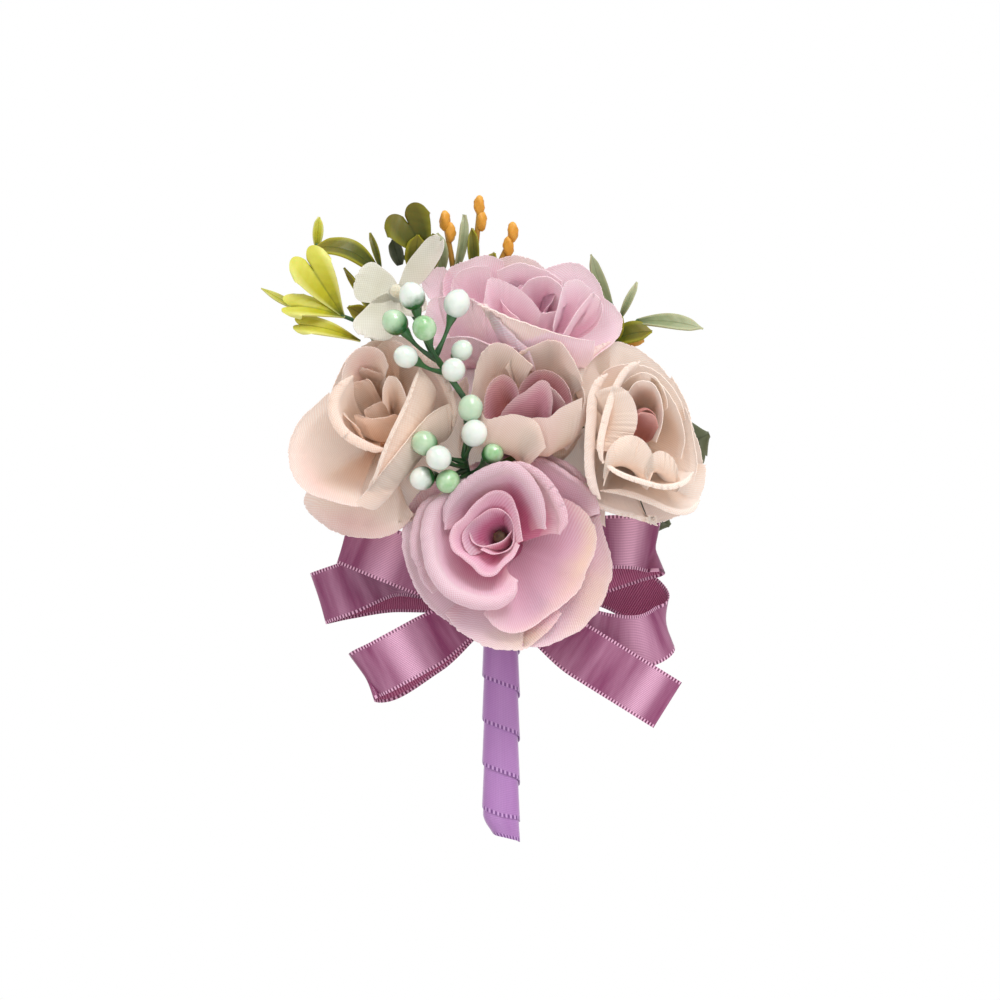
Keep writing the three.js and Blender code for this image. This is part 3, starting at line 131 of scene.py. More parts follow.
class Shape:
    """Grids gathered into one mesh. Each point has a uv in millimetres and four marks for the materials."""

    def __init__(self):
        self.points, self.uvs, self.marks, self.faces, self.slots = [], [], [], [], []
        self.count = 0

    def add(self, points, faces, uv=None, marks=None, slots=0):
        points = np.asarray(points, float).reshape(-1, 3)
        n = len(points)
        self.points.append(points)
        self.uvs.append(np.zeros((n, 2)) if uv is None else np.asarray(uv, float).reshape(n, 2))
        self.marks.append(np.zeros((n, 4)) if marks is None else np.asarray(marks, float).reshape(n, 4))
        self.faces += [tuple(int(k) + self.count for k in face) for face in faces]
        self.slots += [slots] * len(faces) if np.isscalar(slots) else list(slots)
        self.count += n

    def tube(self, rings, uv=None, marks=None, slot=0):
        """A closed skin over rings of points, with both ends filled."""
        rows, cols = rings.shape[:2]
        i = np.arange(rows * cols).reshape(rows, cols)
        j = np.roll(i, -1, axis=1)
        faces = np.stack([i[:-1], j[:-1], j[1:], i[1:]], axis=-1).reshape(-1, 4).tolist()
        faces += [i[0].tolist()[::-1], i[-1].tolist()]
        self.add(rings, faces, uv, marks, slot)

    def slab(self, at, thickness, uv, front, back, slots=(0, 0)):
        """A thin closed sheet about a grid of points, with its own marks and material on either face."""
        rows, cols = at.shape[:2]
        normal = unit(np.cross(np.gradient(at, axis=1), np.gradient(at, axis=0)))
        top, low = at + normal * thickness / 2, at - normal * thickness / 2
        i = np.arange(rows * cols).reshape(rows, cols)
        k = i + rows * cols
        faces = np.stack([i[:-1, :-1], i[:-1, 1:], i[1:, 1:], i[1:, :-1]], axis=-1).reshape(-1, 4).tolist()
        ups = len(faces)
        faces += np.stack([k[:-1, :-1], k[1:, :-1], k[1:, 1:], k[:-1, 1:]], axis=-1).reshape(-1, 4).tolist()
        round_rim = np.concatenate([i[0, :-1], i[:-1, -1], i[-1, :0:-1], i[:0:-1, 0]])
        after = np.roll(round_rim, -1)
        rim = np.stack([round_rim, round_rim + rows * cols, after + rows * cols, after], axis=-1).tolist()
        marks = np.concatenate([front.reshape(-1, 4), back.reshape(-1, 4)])
        both = np.concatenate([uv.reshape(-1, 2)] * 2)
        where = [slots[0]] * ups + [slots[1]] * ups + [slots[0]] * len(rim)
        self.add(np.concatenate([top.reshape(-1, 3), low.reshape(-1, 3)]), faces + rim, both, marks, where)


SHARP_DEGREES = 60


def make(name, shape, materials, stands_for, body="bouquet"):
    """The mesh object of a shape, riding on a body in place of the CAD nodes that it stands for."""
    mesh = bpy.data.meshes.new(name)
    points = (np.concatenate(shape.points) + (0, -STEM_DEPTH, 0)) * MM
    mesh.from_pydata(points.tolist(), [], shape.faces)
    corners = np.empty(len(mesh.loops), dtype=np.int32)
    mesh.loops.foreach_get("vertex_index", corners)
    layer = mesh.uv_layers.new(name="cut")
    layer.data.foreach_set("uv", np.concatenate(shape.uvs)[corners].ravel())
    marks = mesh.attributes.new("marks", "FLOAT_COLOR", "POINT")
    marks.data.foreach_set("color", np.concatenate(shape.marks).ravel())
    mesh.polygons.foreach_set("material_index", shape.slots)
    mesh.polygons.foreach_set("use_smooth", [True] * len(mesh.polygons))
    for each in materials:
        mesh.materials.append(each)
    mesh.update()
    mesh.set_sharp_from_angle(angle=math.radians(SHARP_DEGREES))
    made = bpy.data.objects.new(name, mesh)
    bpy.context.collection.objects.link(made)
    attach(made, body)
    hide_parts(*stands_for)
    return made


def rings_along(path, radii, sides=12):
    """Rings of points about a path, turned as little as can be from one to the next."""
    path = np.asarray(path, float)
    tangent = unit(np.gradient(path, axis=0))
    side = unit(np.cross(tangent[0], (0.3, 1, 0.2)))
    radii = np.broadcast_to(radii, len(path))
    angle = np.arange(sides) * TURN / sides
    rings = []
    for at, along, radius in zip(path, tangent, radii):
        side = unit(side - along * side.dot(along))
        over = np.cross(along, side)
        rings.append(at + radius * (np.cos(angle)[:, None] * side + np.sin(angle)[:, None] * over))
    return np.array(rings)


# Materials


class Finish:
    """A node material. Its numbers that are the same all over sit on the shader's own sockets."""

    def __init__(self, name, **sockets):
        self.material = bpy.data.materials.new(name)
        self.material.use_nodes = True
        self.tree = self.material.node_tree
        self.shader = self.tree.nodes["Principled BSDF"]
        for key, value in sockets.items():
            self.shader.inputs[key.replace("_", " ")].default_value = value

    def node(self, kind, settings=None, **inputs):
        made = self.tree.nodes.new(kind)
        for key, value in (settings or {}).items():
            setattr(made, key, value)
        for key, value in inputs.items():
            numbered = key[0] == "i" and key[1:].isdigit()
            socket = made.inputs[int(key[1:]) if numbered else key.replace("_", " ")]
            if isinstance(value, bpy.types.NodeSocket):
                self.tree.links.new(value, socket)
            else:
                socket.default_value = value
        return made

    def math(self, operation, a, b):
        return self.node("ShaderNodeMath", {"operation": operation}, i0=a, i1=b).outputs[0]

    def mix(self, share, a, b, blend="MIX"):
        made = self.node("ShaderNodeMix", {"data_type": "RGBA", "blend_type": blend}, i0=share)
        for k, value in ((6, a), (7, b)):
            if isinstance(value, bpy.types.NodeSocket):
                self.tree.links.new(value, made.inputs[k])
            else:
                made.inputs[k].default_value = linear(value) if len(value) == 3 else value
        return made.outputs[2]

    def marks(self):
        found = self.node("ShaderNodeAttribute", {"attribute_name": "marks"})
        parts = self.node("ShaderNodeSeparateColor", Color=found.outputs["Color"]).outputs
        return parts[0], parts[1], parts[2], found.outputs["Alpha"]

    def cut(self, turn=0.0):
        """Coordinates along the cloth, in millimetres of the flat cut."""
        uv = self.node("ShaderNodeUVMap", {"uv_map": "cut"}).outputs[0]
        return self.node("ShaderNodeMapping", {}, Vector=uv, Rotation=(0, 0, turn)).outputs[0]

    def threads(self, pitch, direction, turn=0.0, wobble=0.0):
        """Waves of one set of threads, from 0 to 1, that pitch apart in millimetres."""
        found = self.node(
            "ShaderNodeTexWave",
            {"wave_type": "BANDS", "bands_direction": direction},
            Vector=self.cut(turn), Scale=TURN / (20 * pitch), Distortion=wobble,
            Detail=1.0, Detail_Scale=1.0,
        )
        return found.outputs["Fac"]

    def clouded(self, value, cloud, amount):
        """The value, made uneven by noise that lies about 0.5."""
        return self.math("ADD", value, self.math("MULTIPLY", self.math("SUBTRACT", cloud, 0.5), amount))

    def noise(self, scale, detail=2.0, roughness=0.5):
        place = self.node("ShaderNodeTexCoord").outputs["Object"]
        inputs = dict(Vector=place, Scale=scale, Detail=detail, Roughness=roughness)
        return self.node("ShaderNodeTexNoise", {}, **inputs).outputs["Fac"]

    def ramp(self, value, low, high, out_low=0.0, out_high=1.0):
        made = self.node("ShaderNodeMapRange", {"clamp": True}, Value=value)
        for k, number in enumerate((low, high, out_low, out_high), 1):
            made.inputs[k].default_value = number
        return made.outputs[0]

    def color(self, socket):
        self.tree.links.new(socket, self.shader.inputs["Base Color"])

    def bump(self, height, distance, strength=1.0):
        made = self.node("ShaderNodeBump", {}, Height=height, Distance=distance, Strength=strength)
        self.tree.links.new(made.outputs[0], self.shader.inputs["Normal"])

    def rough(self, value, low, high):
        self.tree.links.new(self.ramp(value, 0, 1, low, high), self.shader.inputs["Roughness"])


def weave(finish, pitch):
    """A plain weave: two sets of threads over and under each other."""
    one, two = finish.threads(pitch, "X", 0.6, 0.4), finish.threads(pitch, "Y", 0.6, 0.4)
    return finish.math("MULTIPLY", finish.math("ADD", one, two), 0.5)


def petal_cloth(name, rim, middle, deep, accent, heart=(210, 130, 124)):
    """Dyed cloth. Marks: depth towards the hub, the second colour, the bare rim, and each petal's own tone.
    """
    made = Finish(
        name, Roughness=0.82, Sheen_Weight=0.2, Sheen_Roughness=0.45, Specular_IOR_Level=0.15,
        Subsurface_Weight=0.45, Subsurface_Scale=0.006, Subsurface_Radius=(1.0, 0.7, 0.6),
    )
    root, second, edge, tone = made.marks()
    cloud = made.noise(260, 3, 0.6)
    root = made.clouded(root, cloud, 0.22)
    # Towards the hub the colour deepens: partly the cloth's colouring, partly painted shade in the flower's
    # heart.
    tint = made.mix(made.ramp(root, 0.02, 0.5), rim, middle)
    tint = made.mix(made.ramp(root, 0.45, 1.0), tint, deep)
    second = made.math("MULTIPLY", second, made.ramp(cloud, 0.25, 0.6, 0.7, 1.0))
    tint = made.mix(second, tint, accent)
    tint = made.mix(made.ramp(edge, 0.86, 1.0, 0, 0.35), tint, (250, 238, 232))
    tint = made.mix(made.ramp(tone, 0, 1, 0, 0.16), tint, deep)
    tint = made.mix(made.ramp(tone, 2, 3), tint, heart)
    cloth = weave(made, 0.34)
    tint = made.mix(made.ramp(cloth, 0.15, 0.85, 0.42, 0), tint, deep, "MULTIPLY")
    made.color(tint)
    made.bump(made.math("ADD", cloth, made.math("MULTIPLY", made.noise(900, 2), 0.6)), 0.00006, 0.55)
    return made.material


def satin(name, face, light, dark, reverse, reverse_light):
    """Satin ribbon. Marks: 1 on the satin face and 0 on its reverse, the place across, painted shade, and a
    painted highlight.
    """
    made = Finish(name, Specular_IOR_Level=0.3, Anisotropic=0.55, Sheen_Weight=0.1, Sheen_Roughness=0.3)
    side, across, shade, painted_shine = made.marks()
    ribs = made.threads(0.42, "Y", 0.0, 0.25)
    fine = made.threads(0.3, "X", 0.0, 0.6)
    # Painted sheen: wide, lighter streaks along the satin face, towards the light colour, where it would
    # reflect the light. The light colour also serves the picot loops.
    stretched = made.node("ShaderNodeMapping", {}, Vector=made.cut(), Scale=(0.05, 0.35, 1)).outputs[0]
    broad = made.node("ShaderNodeTexNoise", {}, Vector=stretched, Scale=1.0, Detail=3.0).outputs["Fac"]
    satin_tint = made.mix(made.ramp(broad, 0.35, 0.68, 0, 0.3), face, light)
    # Painted highlight: the bow's highlight bands, lighter along the fine threads.
    painted_gleam = made.math("MULTIPLY", painted_shine, made.ramp(fine, 0.1, 0.9, 0.55, 1))
    satin_tint = made.mix(painted_gleam, satin_tint, light)
    satin_tint = made.mix(made.ramp(fine, 0.1, 0.9, 0.18, 0), satin_tint, dark)
    back_tint = made.mix(made.ramp(ribs, 0.25, 0.75), reverse, reverse_light)
    tint = made.mix(side, back_tint, satin_tint)
    # Painted shade: darker where the bow's ribbon is pinched at the knot, and where the stem wrap's upper
    # edge tucks under the next turn.
    tint = made.mix(made.math("MULTIPLY", shade, 0.6), tint, dark)
    selvedge = made.ramp(across, 0.86, 0.9)
    loops = made.ramp(made.threads(0.62, "Y"), 0.45, 0.6)
    picot = made.mix(loops, dark, light)
    tint = made.mix(made.math("MULTIPLY", selvedge, 0.75), tint, picot)
    made.color(tint)
    ribbed = made.math("MULTIPLY", ribs, made.math("SUBTRACT", 1.25, side))
    made.bump(made.math("ADD", ribbed, made.math("MULTIPLY", loops, selvedge)), 0.00005, 0.7)
    made.rough(side, 0.6, 0.3)
    tangent = made.node("ShaderNodeTangent", {"direction_type": "UV_MAP", "uv_map": "cut"}).outputs[0]
    made.tree.links.new(tangent, made.shader.inputs["Tangent"])
    return made.material


def leaf_plastic(name, base, middle, tip, rim, glow=0.0):
    """Moulded leaves. Marks: the place along, the place across from the rib, and each leaf's own tone."""
    made = Finish(
        name, Roughness=0.4, Specular_IOR_Level=0.3, Subsurface_Weight=glow, Subsurface_Scale=0.002,
    )
    along, across, tone = made.marks()[:3]
    cloud = made.noise(420, 3, 0.65)
    place = made.clouded(along, cloud, 0.35)
    tint = made.mix(made.ramp(place, 0.0, 0.35), base, middle)
    tint = made.mix(made.ramp(place, 0.45, 0.95), tint, tip)
    tint = made.mix(made.ramp(across, 0.62, 1.0, 0, 0.8), tint, rim)
    rib = made.ramp(across, 0.0, 0.12, 0.5, 0)
    tint = made.mix(rib, tint, base)
    tint = made.mix(made.ramp(tone, 0, 1, 0, 0.55), tint, base)
    made.color(tint)
    veins = made.threads(1.1, "DIAGONAL", 0.0, 1.2)
    relief = made.math("MULTIPLY", veins, 0.5)
    made.bump(made.math("ADD", relief, made.ramp(across, 0, 0.16, 0, 0.6)), 0.00012, 0.5)
    return made.material


def plain_finish(name, color, other, roughness, scale=700, bump=0.00005, **sockets):
    """Two close tones in a cloudy mix, with a fine uneven surface."""
    made = Finish(name, **sockets)
    cloud = made.noise(scale, 4, 0.6)
    made.color(made.mix(made.ramp(cloud, 0.3, 0.7), color, other))
    made.rough(cloud, roughness * 0.85, min(1, roughness * 1.15))
    made.bump(cloud, bump, 0.5)
    return made.material


def berry_paint():
    """Glossy paint, white or green. Marks: green at the stalk, green all over, and dark stalks."""
    made = Finish(
        "berry_paint", Specular_IOR_Level=0.55, Coat_Weight=0.35, Coat_Roughness=0.1,
        Subsurface_Weight=0.2, Subsurface_Scale=0.002,
    )
    foot, green, stalk = made.marks()[:3]
    cloud = made.noise(420, 3)
    foot = made.clouded(foot, cloud, 0.5)
    white = made.mix(made.ramp(cloud, 0.3, 0.7), (228, 232, 226), (206, 218, 208))
    pale = made.mix(made.ramp(cloud, 0.3, 0.7), (132, 182, 122), (188, 214, 182))
    pale = made.mix(made.ramp(foot, 0.25, 0.75), pale, (92, 150, 84))
    ball = made.mix(green, white, pale)
    ball = made.mix(made.ramp(foot, 0.34, 0.66), ball, (40, 96, 46))
    tint = made.mix(stalk, ball, made.mix(made.ramp(cloud, 0.35, 0.65), (30, 74, 40), (52, 104, 52)))
    made.color(tint)
    made.rough(stalk, 0.2, 0.42)
    made.bump(cloud, 0.00004, 0.4)
    return made.material


pink = petal_cloth("cloth_pink", (241, 203, 219), (237, 184, 205), (222, 122, 158), (248, 226, 192))
peach = petal_cloth("cloth_peach", (250, 232, 216), (248, 224, 200), (236, 184, 146), (243, 190, 186))
# Lit copies of the pink and peach cloth: paler, as painted light, for the two flowers that the light falls
# on most.
pink_lit_copy = petal_cloth(
    "cloth_pink_lit_copy", (253, 224, 236), (253, 210, 226), (240, 164, 192), (252, 236, 208),
)
peach_lit_copy = petal_cloth(
    "cloth_peach_lit_copy", (254, 240, 226), (254, 232, 212), (248, 208, 180), (248, 204, 198),
)
dusky = petal_cloth("cloth_dusky", (214, 146, 162), (198, 122, 142), (160, 76, 92), (232, 190, 180))
cream = petal_cloth("cloth_cream", (222, 217, 200), (208, 202, 178), (212, 206, 186), (238, 236, 226))
mauve = satin("satin_mauve", (134, 62, 102), (244, 190, 220), (90, 32, 66), (150, 62, 104), (196, 118, 152))
violet = satin(
    "satin_violet", (184, 132, 194), (210, 168, 220), (104, 56, 122), (140, 88, 156), (168, 118, 184),
)
lime = leaf_plastic("leaf_lime", (72, 92, 22), (178, 176, 30), (206, 204, 84), (228, 226, 140), 0.12)
olive = leaf_plastic("leaf_olive", (36, 54, 10), (86, 90, 16), (132, 120, 28), (172, 168, 36), 0.08)
grey_green = leaf_plastic(
    "leaf_grey_green", (84, 96, 60), (132, 144, 104), (176, 180, 146), (188, 190, 150), 0.05,
)
dark_green = leaf_plastic("leaf_dark", (36, 44, 26), (58, 66, 44), (86, 92, 66), (104, 108, 84))
orange = leaf_plastic("leaf_orange", (112, 92, 36), (208, 146, 52), (232, 176, 84), (220, 160, 84), 0.08)
berries = berry_paint()
wire_green = plain_finish("wire_green", (44, 84, 44), (62, 104, 54), 0.5)
calyx_green = plain_finish("calyx_green", (70, 104, 48), (96, 124, 58), 0.5)
band_mauve = plain_finish("band_mauve", (134, 62, 102), (156, 82, 122), 0.45)
tape_green = plain_finish("tape_green", (92, 116, 70), (112, 132, 84), 0.8, 900)
pollen = plain_finish("pollen", (84, 62, 34), (52, 30, 24), 0.7, 1500)
nickel = plain_finish("nickel", (196, 198, 202), (180, 182, 186), 0.28, 1400, 0.00001, Metallic=1.0)
glue = plain_finish("glue", (232, 226, 204), (222, 214, 188), 0.45, 300)

# Sizes that the shapes share with the CAD part, in millimetres

CLEARANCE, SINK = 0.35, 0.4
STEM_DEPTH = 5.68  # from the stem's axis back to the lapel
WIRE, WIRE_GAP, BUNDLE_LOW, BUNDLE_TOP = 0.8, 0.12, -22, 20
SPACING = WIRE + WIRE_GAP
BUNDLE = math.sqrt(3) * SPACING + WIRE / 2
TAPE_CLOTH, TAPE_LOW, TAPE_TOP = 0.2, -22.4, 19.6
TAPE_OUT = BUNDLE + WIRE_GAP + TAPE_CLOTH
RIBBON = 10
WRAP_PITCH, WRAP_CLOTH, WRAP_IN = 8.25, 0.25, TAPE_OUT + 0.2
WRAP_SPAN = RIBBON / math.cos(math.atan(WRAP_PITCH / (TURN * WRAP_IN)))
WRAP_LAP, WRAP_CLOSE = 0.42, 0.12  # from a turn to the one that laps over it: in the CAD part, and here
WRAP_OUT = WRAP_IN + (WRAP_CLOTH + WRAP_LAP) / (WRAP_PITCH / WRAP_SPAN) + WRAP_CLOTH
WRAP_SLANT = (WRAP_CLOTH + WRAP_CLOSE) / (WRAP_PITCH / WRAP_SPAN)
HUB_RADIUS, HUB_PITCH, HUB_STEP, HUB_CLOTH = 3.4, 1.4, 0.3, 0.75
PEG_SEAT, CALYX = 1.5, 5
# The photo's view: pixels to a millimetre in one plane, how far that plane and the camera stand in front of
# the lapel, and the place that the photo's middle shows, across and up
PHOTO_WIDTH, PHOTO_SCALE = 1000, 5.4
PHOTO_PLANE, PHOTO_DISTANCE, PHOTO_X, PHOTO_Z = 20, 920, -0.2, 34.4


def slot_at(ring, degrees):
    """Where a wire lies across the bundle: in the middle, or in one of two rings about it."""
    radius = (0, SPACING, math.sqrt(3) * SPACING)[ring]
    return radius * math.cos(math.radians(degrees)), radius * math.sin(math.radians(degrees))


def wire_path(slot, target, arrival, rise, reach, end):
    """A wire's path: straight up the bundle, a bend to where it is going, and a straight end."""
    x, y = slot_at(*slot)
    target, arrival = np.asarray(target, float), unit(arrival)
    top = np.array([x, y, BUNDLE_TOP])
    arrive = target - arrival * end
    bend, _ = bezier((top, top + (0, 0, rise), arrive - arrival * reach, arrive), np.linspace(0, 1, 28))
    low = [(x, y, z) for z in np.linspace(BUNDLE_LOW, BUNDLE_TOP, 5)[:-1]]
    return np.vstack([low, bend, target[None]])


def flower_frame(axis):
    """The frame of a flower, as rows: the flower's axis is the last one, and the first is near +X."""
    axis = unit(axis)
    right = unit(np.array([1.0, 0, 0]) - axis * axis[0])
    return np.array([right, np.cross(axis, right), axis])


def placed(points, flower):
    """Points of a flower's own frame, in the stem's."""
    return points @ flower_frame(flower["axis"]) + np.asarray(flower["at"], float)


# Petals. One either fans out to a rim, or stands up and bends round its hub.


def petal(root, rim, **looks):
    """A petal that fans out. Root: its turn and half its spread on the hub in degrees, and how far its
    middle bows out and sinks. Rim: across and down the photo in pixels, and forward of the stem in
    millimetres. Looks: the rim's roll and lip, a second colour (accent, where, band), and a heart's (rosy)."""
    return dict(looks, root=root, rim=rim)


def scroll(form, turn, far, rise, wide, **looks):
    """A petal that stands up: its form, its turn in degrees, and its reach, rise and half width."""
    return dict(looks, form=form, turn=turn, far=far, rise=rise, wide=wide)


# How a scroll runs from its hub to its rim, as shares of its reach and its rise, how it bends, and its tip
WALL = dict(profile=((0, 0), (1.02, -0.02), (0.84, 0.72), (1, 1)), cup=0.85, tip=0.5)
COIL = dict(profile=((0, 0), (1.3, 0), (1.1, 0.6), (1, 1)), cup=0.95, tip=0.4)
TUCK, CURL, NOTCH, BEND_LIMIT, SCROLLS_ROUND = 0.7, 0.5, 0.02, 1.3, 3
PETAL_CLOTH, HUB_FELT, HUB_HOLE = 0.12, 0.3, 1.3


def outline(v, tip):
    """How wide a petal is along its length, and at its tip, as a share of its greatest width."""
    low = 0.42 + 0.58 * np.sin(np.pi / 2 * np.clip(v / 0.6, 0, 1))
    high = np.sqrt(1 - (1 - tip**2) * np.clip((v - 0.6) / 0.4, 0, 1) ** 2.4)
    return np.where(v < 0.6, low, high)


def hub_at(level):
    """The radius of a layer's hub, and how far up its axis the middle of its cloth lies."""
    return HUB_RADIUS - level * HUB_STEP, CLEARANCE + level * HUB_PITCH + HUB_CLOTH / 2


FRAY, FRAY_WAVES = 0.006, ((0.011, 7), (0.005, 17))  # as shares of a thread: its own part, and slow waves
RIPPLE, RIPPLES, DENT = 0.018, (3.1, 5.3, 8.7), 0.2


def cloth_folds(rng, u, v, far):
    """How far a petal's cloth stands out of its plain form, and how long each of its threads is."""
    beat = np.linspace(0, 1, u.shape[1])
    frays = rng.normal(0, FRAY, u.shape[1])
    for size, waves in FRAY_WAVES:
        frays = frays + size * np.sin(waves * beat + rng.uniform(0, 6))
    phase = rng.uniform(0, TURN, 4)
    ripple = sum(np.sin(u * k + phase[n]) / k for n, k in enumerate(RIPPLES))
    dent = DENT * np.sin(u * 2.3 + v * 5 + phase[3]) * smooth(v * 2)
    return RIPPLE * far * ripple * v * v + dent, frays


def with_lip(points, uv, u, v, radius, degrees, rows=9):
    """The petal with its rim rolled back on itself, away from the flower's axis."""
    edge = points[-1]
    along = unit(edge - points[-3])
    side = unit(np.gradient(edge, axis=0))
    back = unit(np.cross(side, along))
    away = unit(edge * (1, 1, 0)) - (0, 0, 0.35)
    back *= np.sign((back * away).sum())
    angle = math.radians(degrees) * np.arange(1, rows + 1)[:, None, None] / rows
    size = radius * np.clip(1 - np.abs(u[-1]) ** 5, 0.2, 1)[None, :, None]
    more = edge + size * (np.sin(angle) * along + (1 - np.cos(angle)) * back)
    lengths = (size * angle)[..., 0]
    more_uv = together(uv[-1, :, 0], uv[-1, :, 1] + lengths)
    more_v = np.broadcast_to(1 + 0.2 * np.arange(1, rows + 1)[:, None] / rows, lengths.shape)
    more_u = np.broadcast_to(u[-1], lengths.shape)
    pairs = ((points, more), (uv, more_uv), (u, more_u), (v, more_v))
    return [np.vstack(pair) for pair in pairs]


def scroll_grid(level, plan, seed, across=64, along=34):
    """A scroll's points in its flower's frame, with its uv in millimetres and its place along and across."""
    form, far, rise = plan["form"], plan["far"], plan["rise"]
    rng = np.random.default_rng(seed)
    root, base = hub_at(level)
    curve = [(r * far, base + h * rise) for r, h in form["profile"]]
    curve[0] = (root - 2 * SINK, base)
    u, v = grid(across, along)
    folds, frays = cloth_folds(rng, u, v, far)
    length = 1 - NOTCH * (1 - np.abs(u)) * smooth(2 * v - 1) + frays * smooth((v - 0.8) / 0.2)
    here, slope = bezier(curve, v * length)
    bend = np.maximum(here[..., 0] * form["cup"], root)
    room = math.tan(math.pi / SCROLLS_ROUND) * (0.85 * root + 1.6 * np.maximum(0, here[..., 0] - root))
    half = np.minimum(plan["wide"] * outline(v, form["tip"]), room)
    swing = BEND_LIMIT * np.tanh(u * half / bend / BEND_LIMIT)
    edge = smooth((np.abs(u) - 0.45) / 0.55) * v
    roll = plan.get("roll", 0.6) * smooth((v - 0.7) / 0.3) ** 1.5
    out = plan.get("tuck", TUCK) * u * smooth(v / 0.25) + CURL * edge + folds + roll
    reach = bend + out * slope[..., 1]
    radial = here[..., 0] - bend + reach * np.cos(swing)
    high = here[..., 1] - out * slope[..., 0]
    points = turned(radial, reach * np.sin(swing), high, math.radians(plan["turn"]))
    points[..., :2] += np.asarray(plan.get("lean", (0, 0))) * smooth(v)[..., None]
    uv = together(u * half, run_along(points[:, across // 2])[:, None])
    return points, uv, u, v, rng


def seen(rim):
    """Places in millimetres about the stem's axis, from pixels of the photo and how far forward they lie."""
    across, down, forward = np.asarray(rim, float).T
    shrink = (PHOTO_DISTANCE - STEM_DEPTH - forward) / (PHOTO_DISTANCE - PHOTO_PLANE) / PHOTO_SCALE
    half = PHOTO_WIDTH // 2
    return together(PHOTO_X + (across - half) * shrink, -forward, PHOTO_Z + (half - down) * shrink)


FAN_FRAY, FAN_SIDEWAYS = 0.7, 0.13
FAN_FOOT, FAN_RIM = 0.45, 0.55  # how much of the foot and of the rim is in a petal's middle


def fan_grid(flower, level, plan, seed, across=72, along=30):
    """The points of a petal that fans out to a rim through the places where the photo shows it."""
    rng = np.random.default_rng(seed)
    radius, base = hub_at(level)
    root = radius - 2 * SINK
    turn, spread, belly, dip = plan["root"]
    axes = flower_frame(flower["axis"])
    rim = through(seen(plan["rim"]), np.linspace(0, 1, across + 1)) - np.asarray(flower["at"], float)
    rim = rim @ axes.T
    u, v = grid(across, along)
    ways_round = np.unwrap(np.arctan2(rim[:, 1], rim[:, 0]))
    angle = np.radians(turn + spread * u[0] * np.sign(ways_round[-1] - ways_round[0]))
    foot = together(root * np.cos(angle), root * np.sin(angle), base)
    way = np.array([math.cos(math.radians(turn)) * belly, math.sin(math.radians(turn)) * belly, -dip])
    length = np.linalg.norm(rim - foot, axis=1)
    folds, frays = cloth_folds(rng, u, v, length.max())
    rim = rim + (rim - foot) * frays[:, None] * FAN_FRAY
    bow = np.sqrt(np.clip(length / length.max(), 0, 1))
    middle = FAN_FOOT * foot + FAN_RIM * rim + way * bow[:, None]
    sideways = np.abs(u[0]) ** 3 * np.sign(u[0]) * FAN_SIDEWAYS * length.mean()
    middle = middle + unit(np.gradient(rim, axis=0)) * sideways[:, None]
    t = v[..., None]
    points = (1 - t) ** 2 * foot + 2 * t * (1 - t) * middle + t * t * rim
    normal = unit(np.cross(np.gradient(points, axis=1), np.gradient(points, axis=0)))
    normal *= np.sign((normal[along // 2] * way).sum() or 1)
    roll = plan.get("roll", 0.4) * smooth((v - 0.75) / 0.25) ** 1.5
    points = points + normal * (folds * smooth(v * 3) + roll)[..., None]
    steps = np.linalg.norm(np.diff(points, axis=1), axis=-1)
    ways = np.concatenate([np.zeros((along + 1, 1)), np.cumsum(steps, axis=1)], axis=1)
    mid = across // 2
    uv = together(ways - ways[:, mid : mid + 1], run_along(points[:, mid])[:, None])
    if "lip" in plan:
        points, uv, u, v = with_lip(points, uv, u, v, *plan["lip"])
    return points, uv, u, v, rng


def petal_layer(flower, kind, level, finish):
    """One layer of petals on its hub, cut as one star from one piece of cloth."""
    shape = Shape()
    flat_area, longest = 0, 0
    for number, plan in enumerate(flower["layers"][kind]):
        seed = flower["seed"] + 17 * level + number
        if "rim" in plan:
            points, uv, u, v, rng = fan_grid(flower, level, plan, seed)
        else:
            points, uv, u, v, rng = scroll_grid(level, plan, seed)
        tone = rng.uniform(0, 1) + 3 * plan.get("rosy", 0)
        accent, where, band = plan.get("accent", 0), plan.get("where", 0), plan.get("band", 0.55)
        second = accent * smooth((v - band + 0.25 * np.cos(3 * u)) / (1 - band))
        second = second * np.exp(-(((u - where) / 0.75) ** 2))
        rim = np.maximum(v, smooth(np.abs(u)) * smooth(2 * v))
        # Darker towards the hub, partly by colouring and partly as painted shade, more on the front face
        # than on the back.
        deep = smooth(1 - v * 1.1) if kind in ("outer", "middle") else smooth(1.15 - v)
        deep = deep * flower["hub_dye_and_shade"][level]
        front, back = together(deep, second, rim, tone), together(deep * 0.7, second, rim, tone)
        shape.slab(placed(points, flower), PETAL_CLOTH, uv, front, back)
        patches = np.cross(np.diff(points[:, :-1], axis=0), np.diff(points[:-1], axis=1))
        flat_area += np.linalg.norm(patches, axis=-1).sum()
        longest = max(longest, uv[..., 1].max())
    root, base = hub_at(level)
    turns = np.arange(25) / 24 * TURN
    radii = np.array([HUB_HOLE, root])[:, None]
    disc = together(radii * np.cos(turns), radii * np.sin(turns), base)
    deep = np.broadcast_to((1.0, 0, 0, 0.5), (2, 25, 4))
    shape.slab(placed(disc, flower), HUB_FELT, disc[..., :2], deep, deep)
    flat_area += math.pi * root**2
    name = flower["name"]
    made = make(f"{name}_cloth_{kind}", shape, [finish], stands_for=[f"{name}_petals_{kind}"])


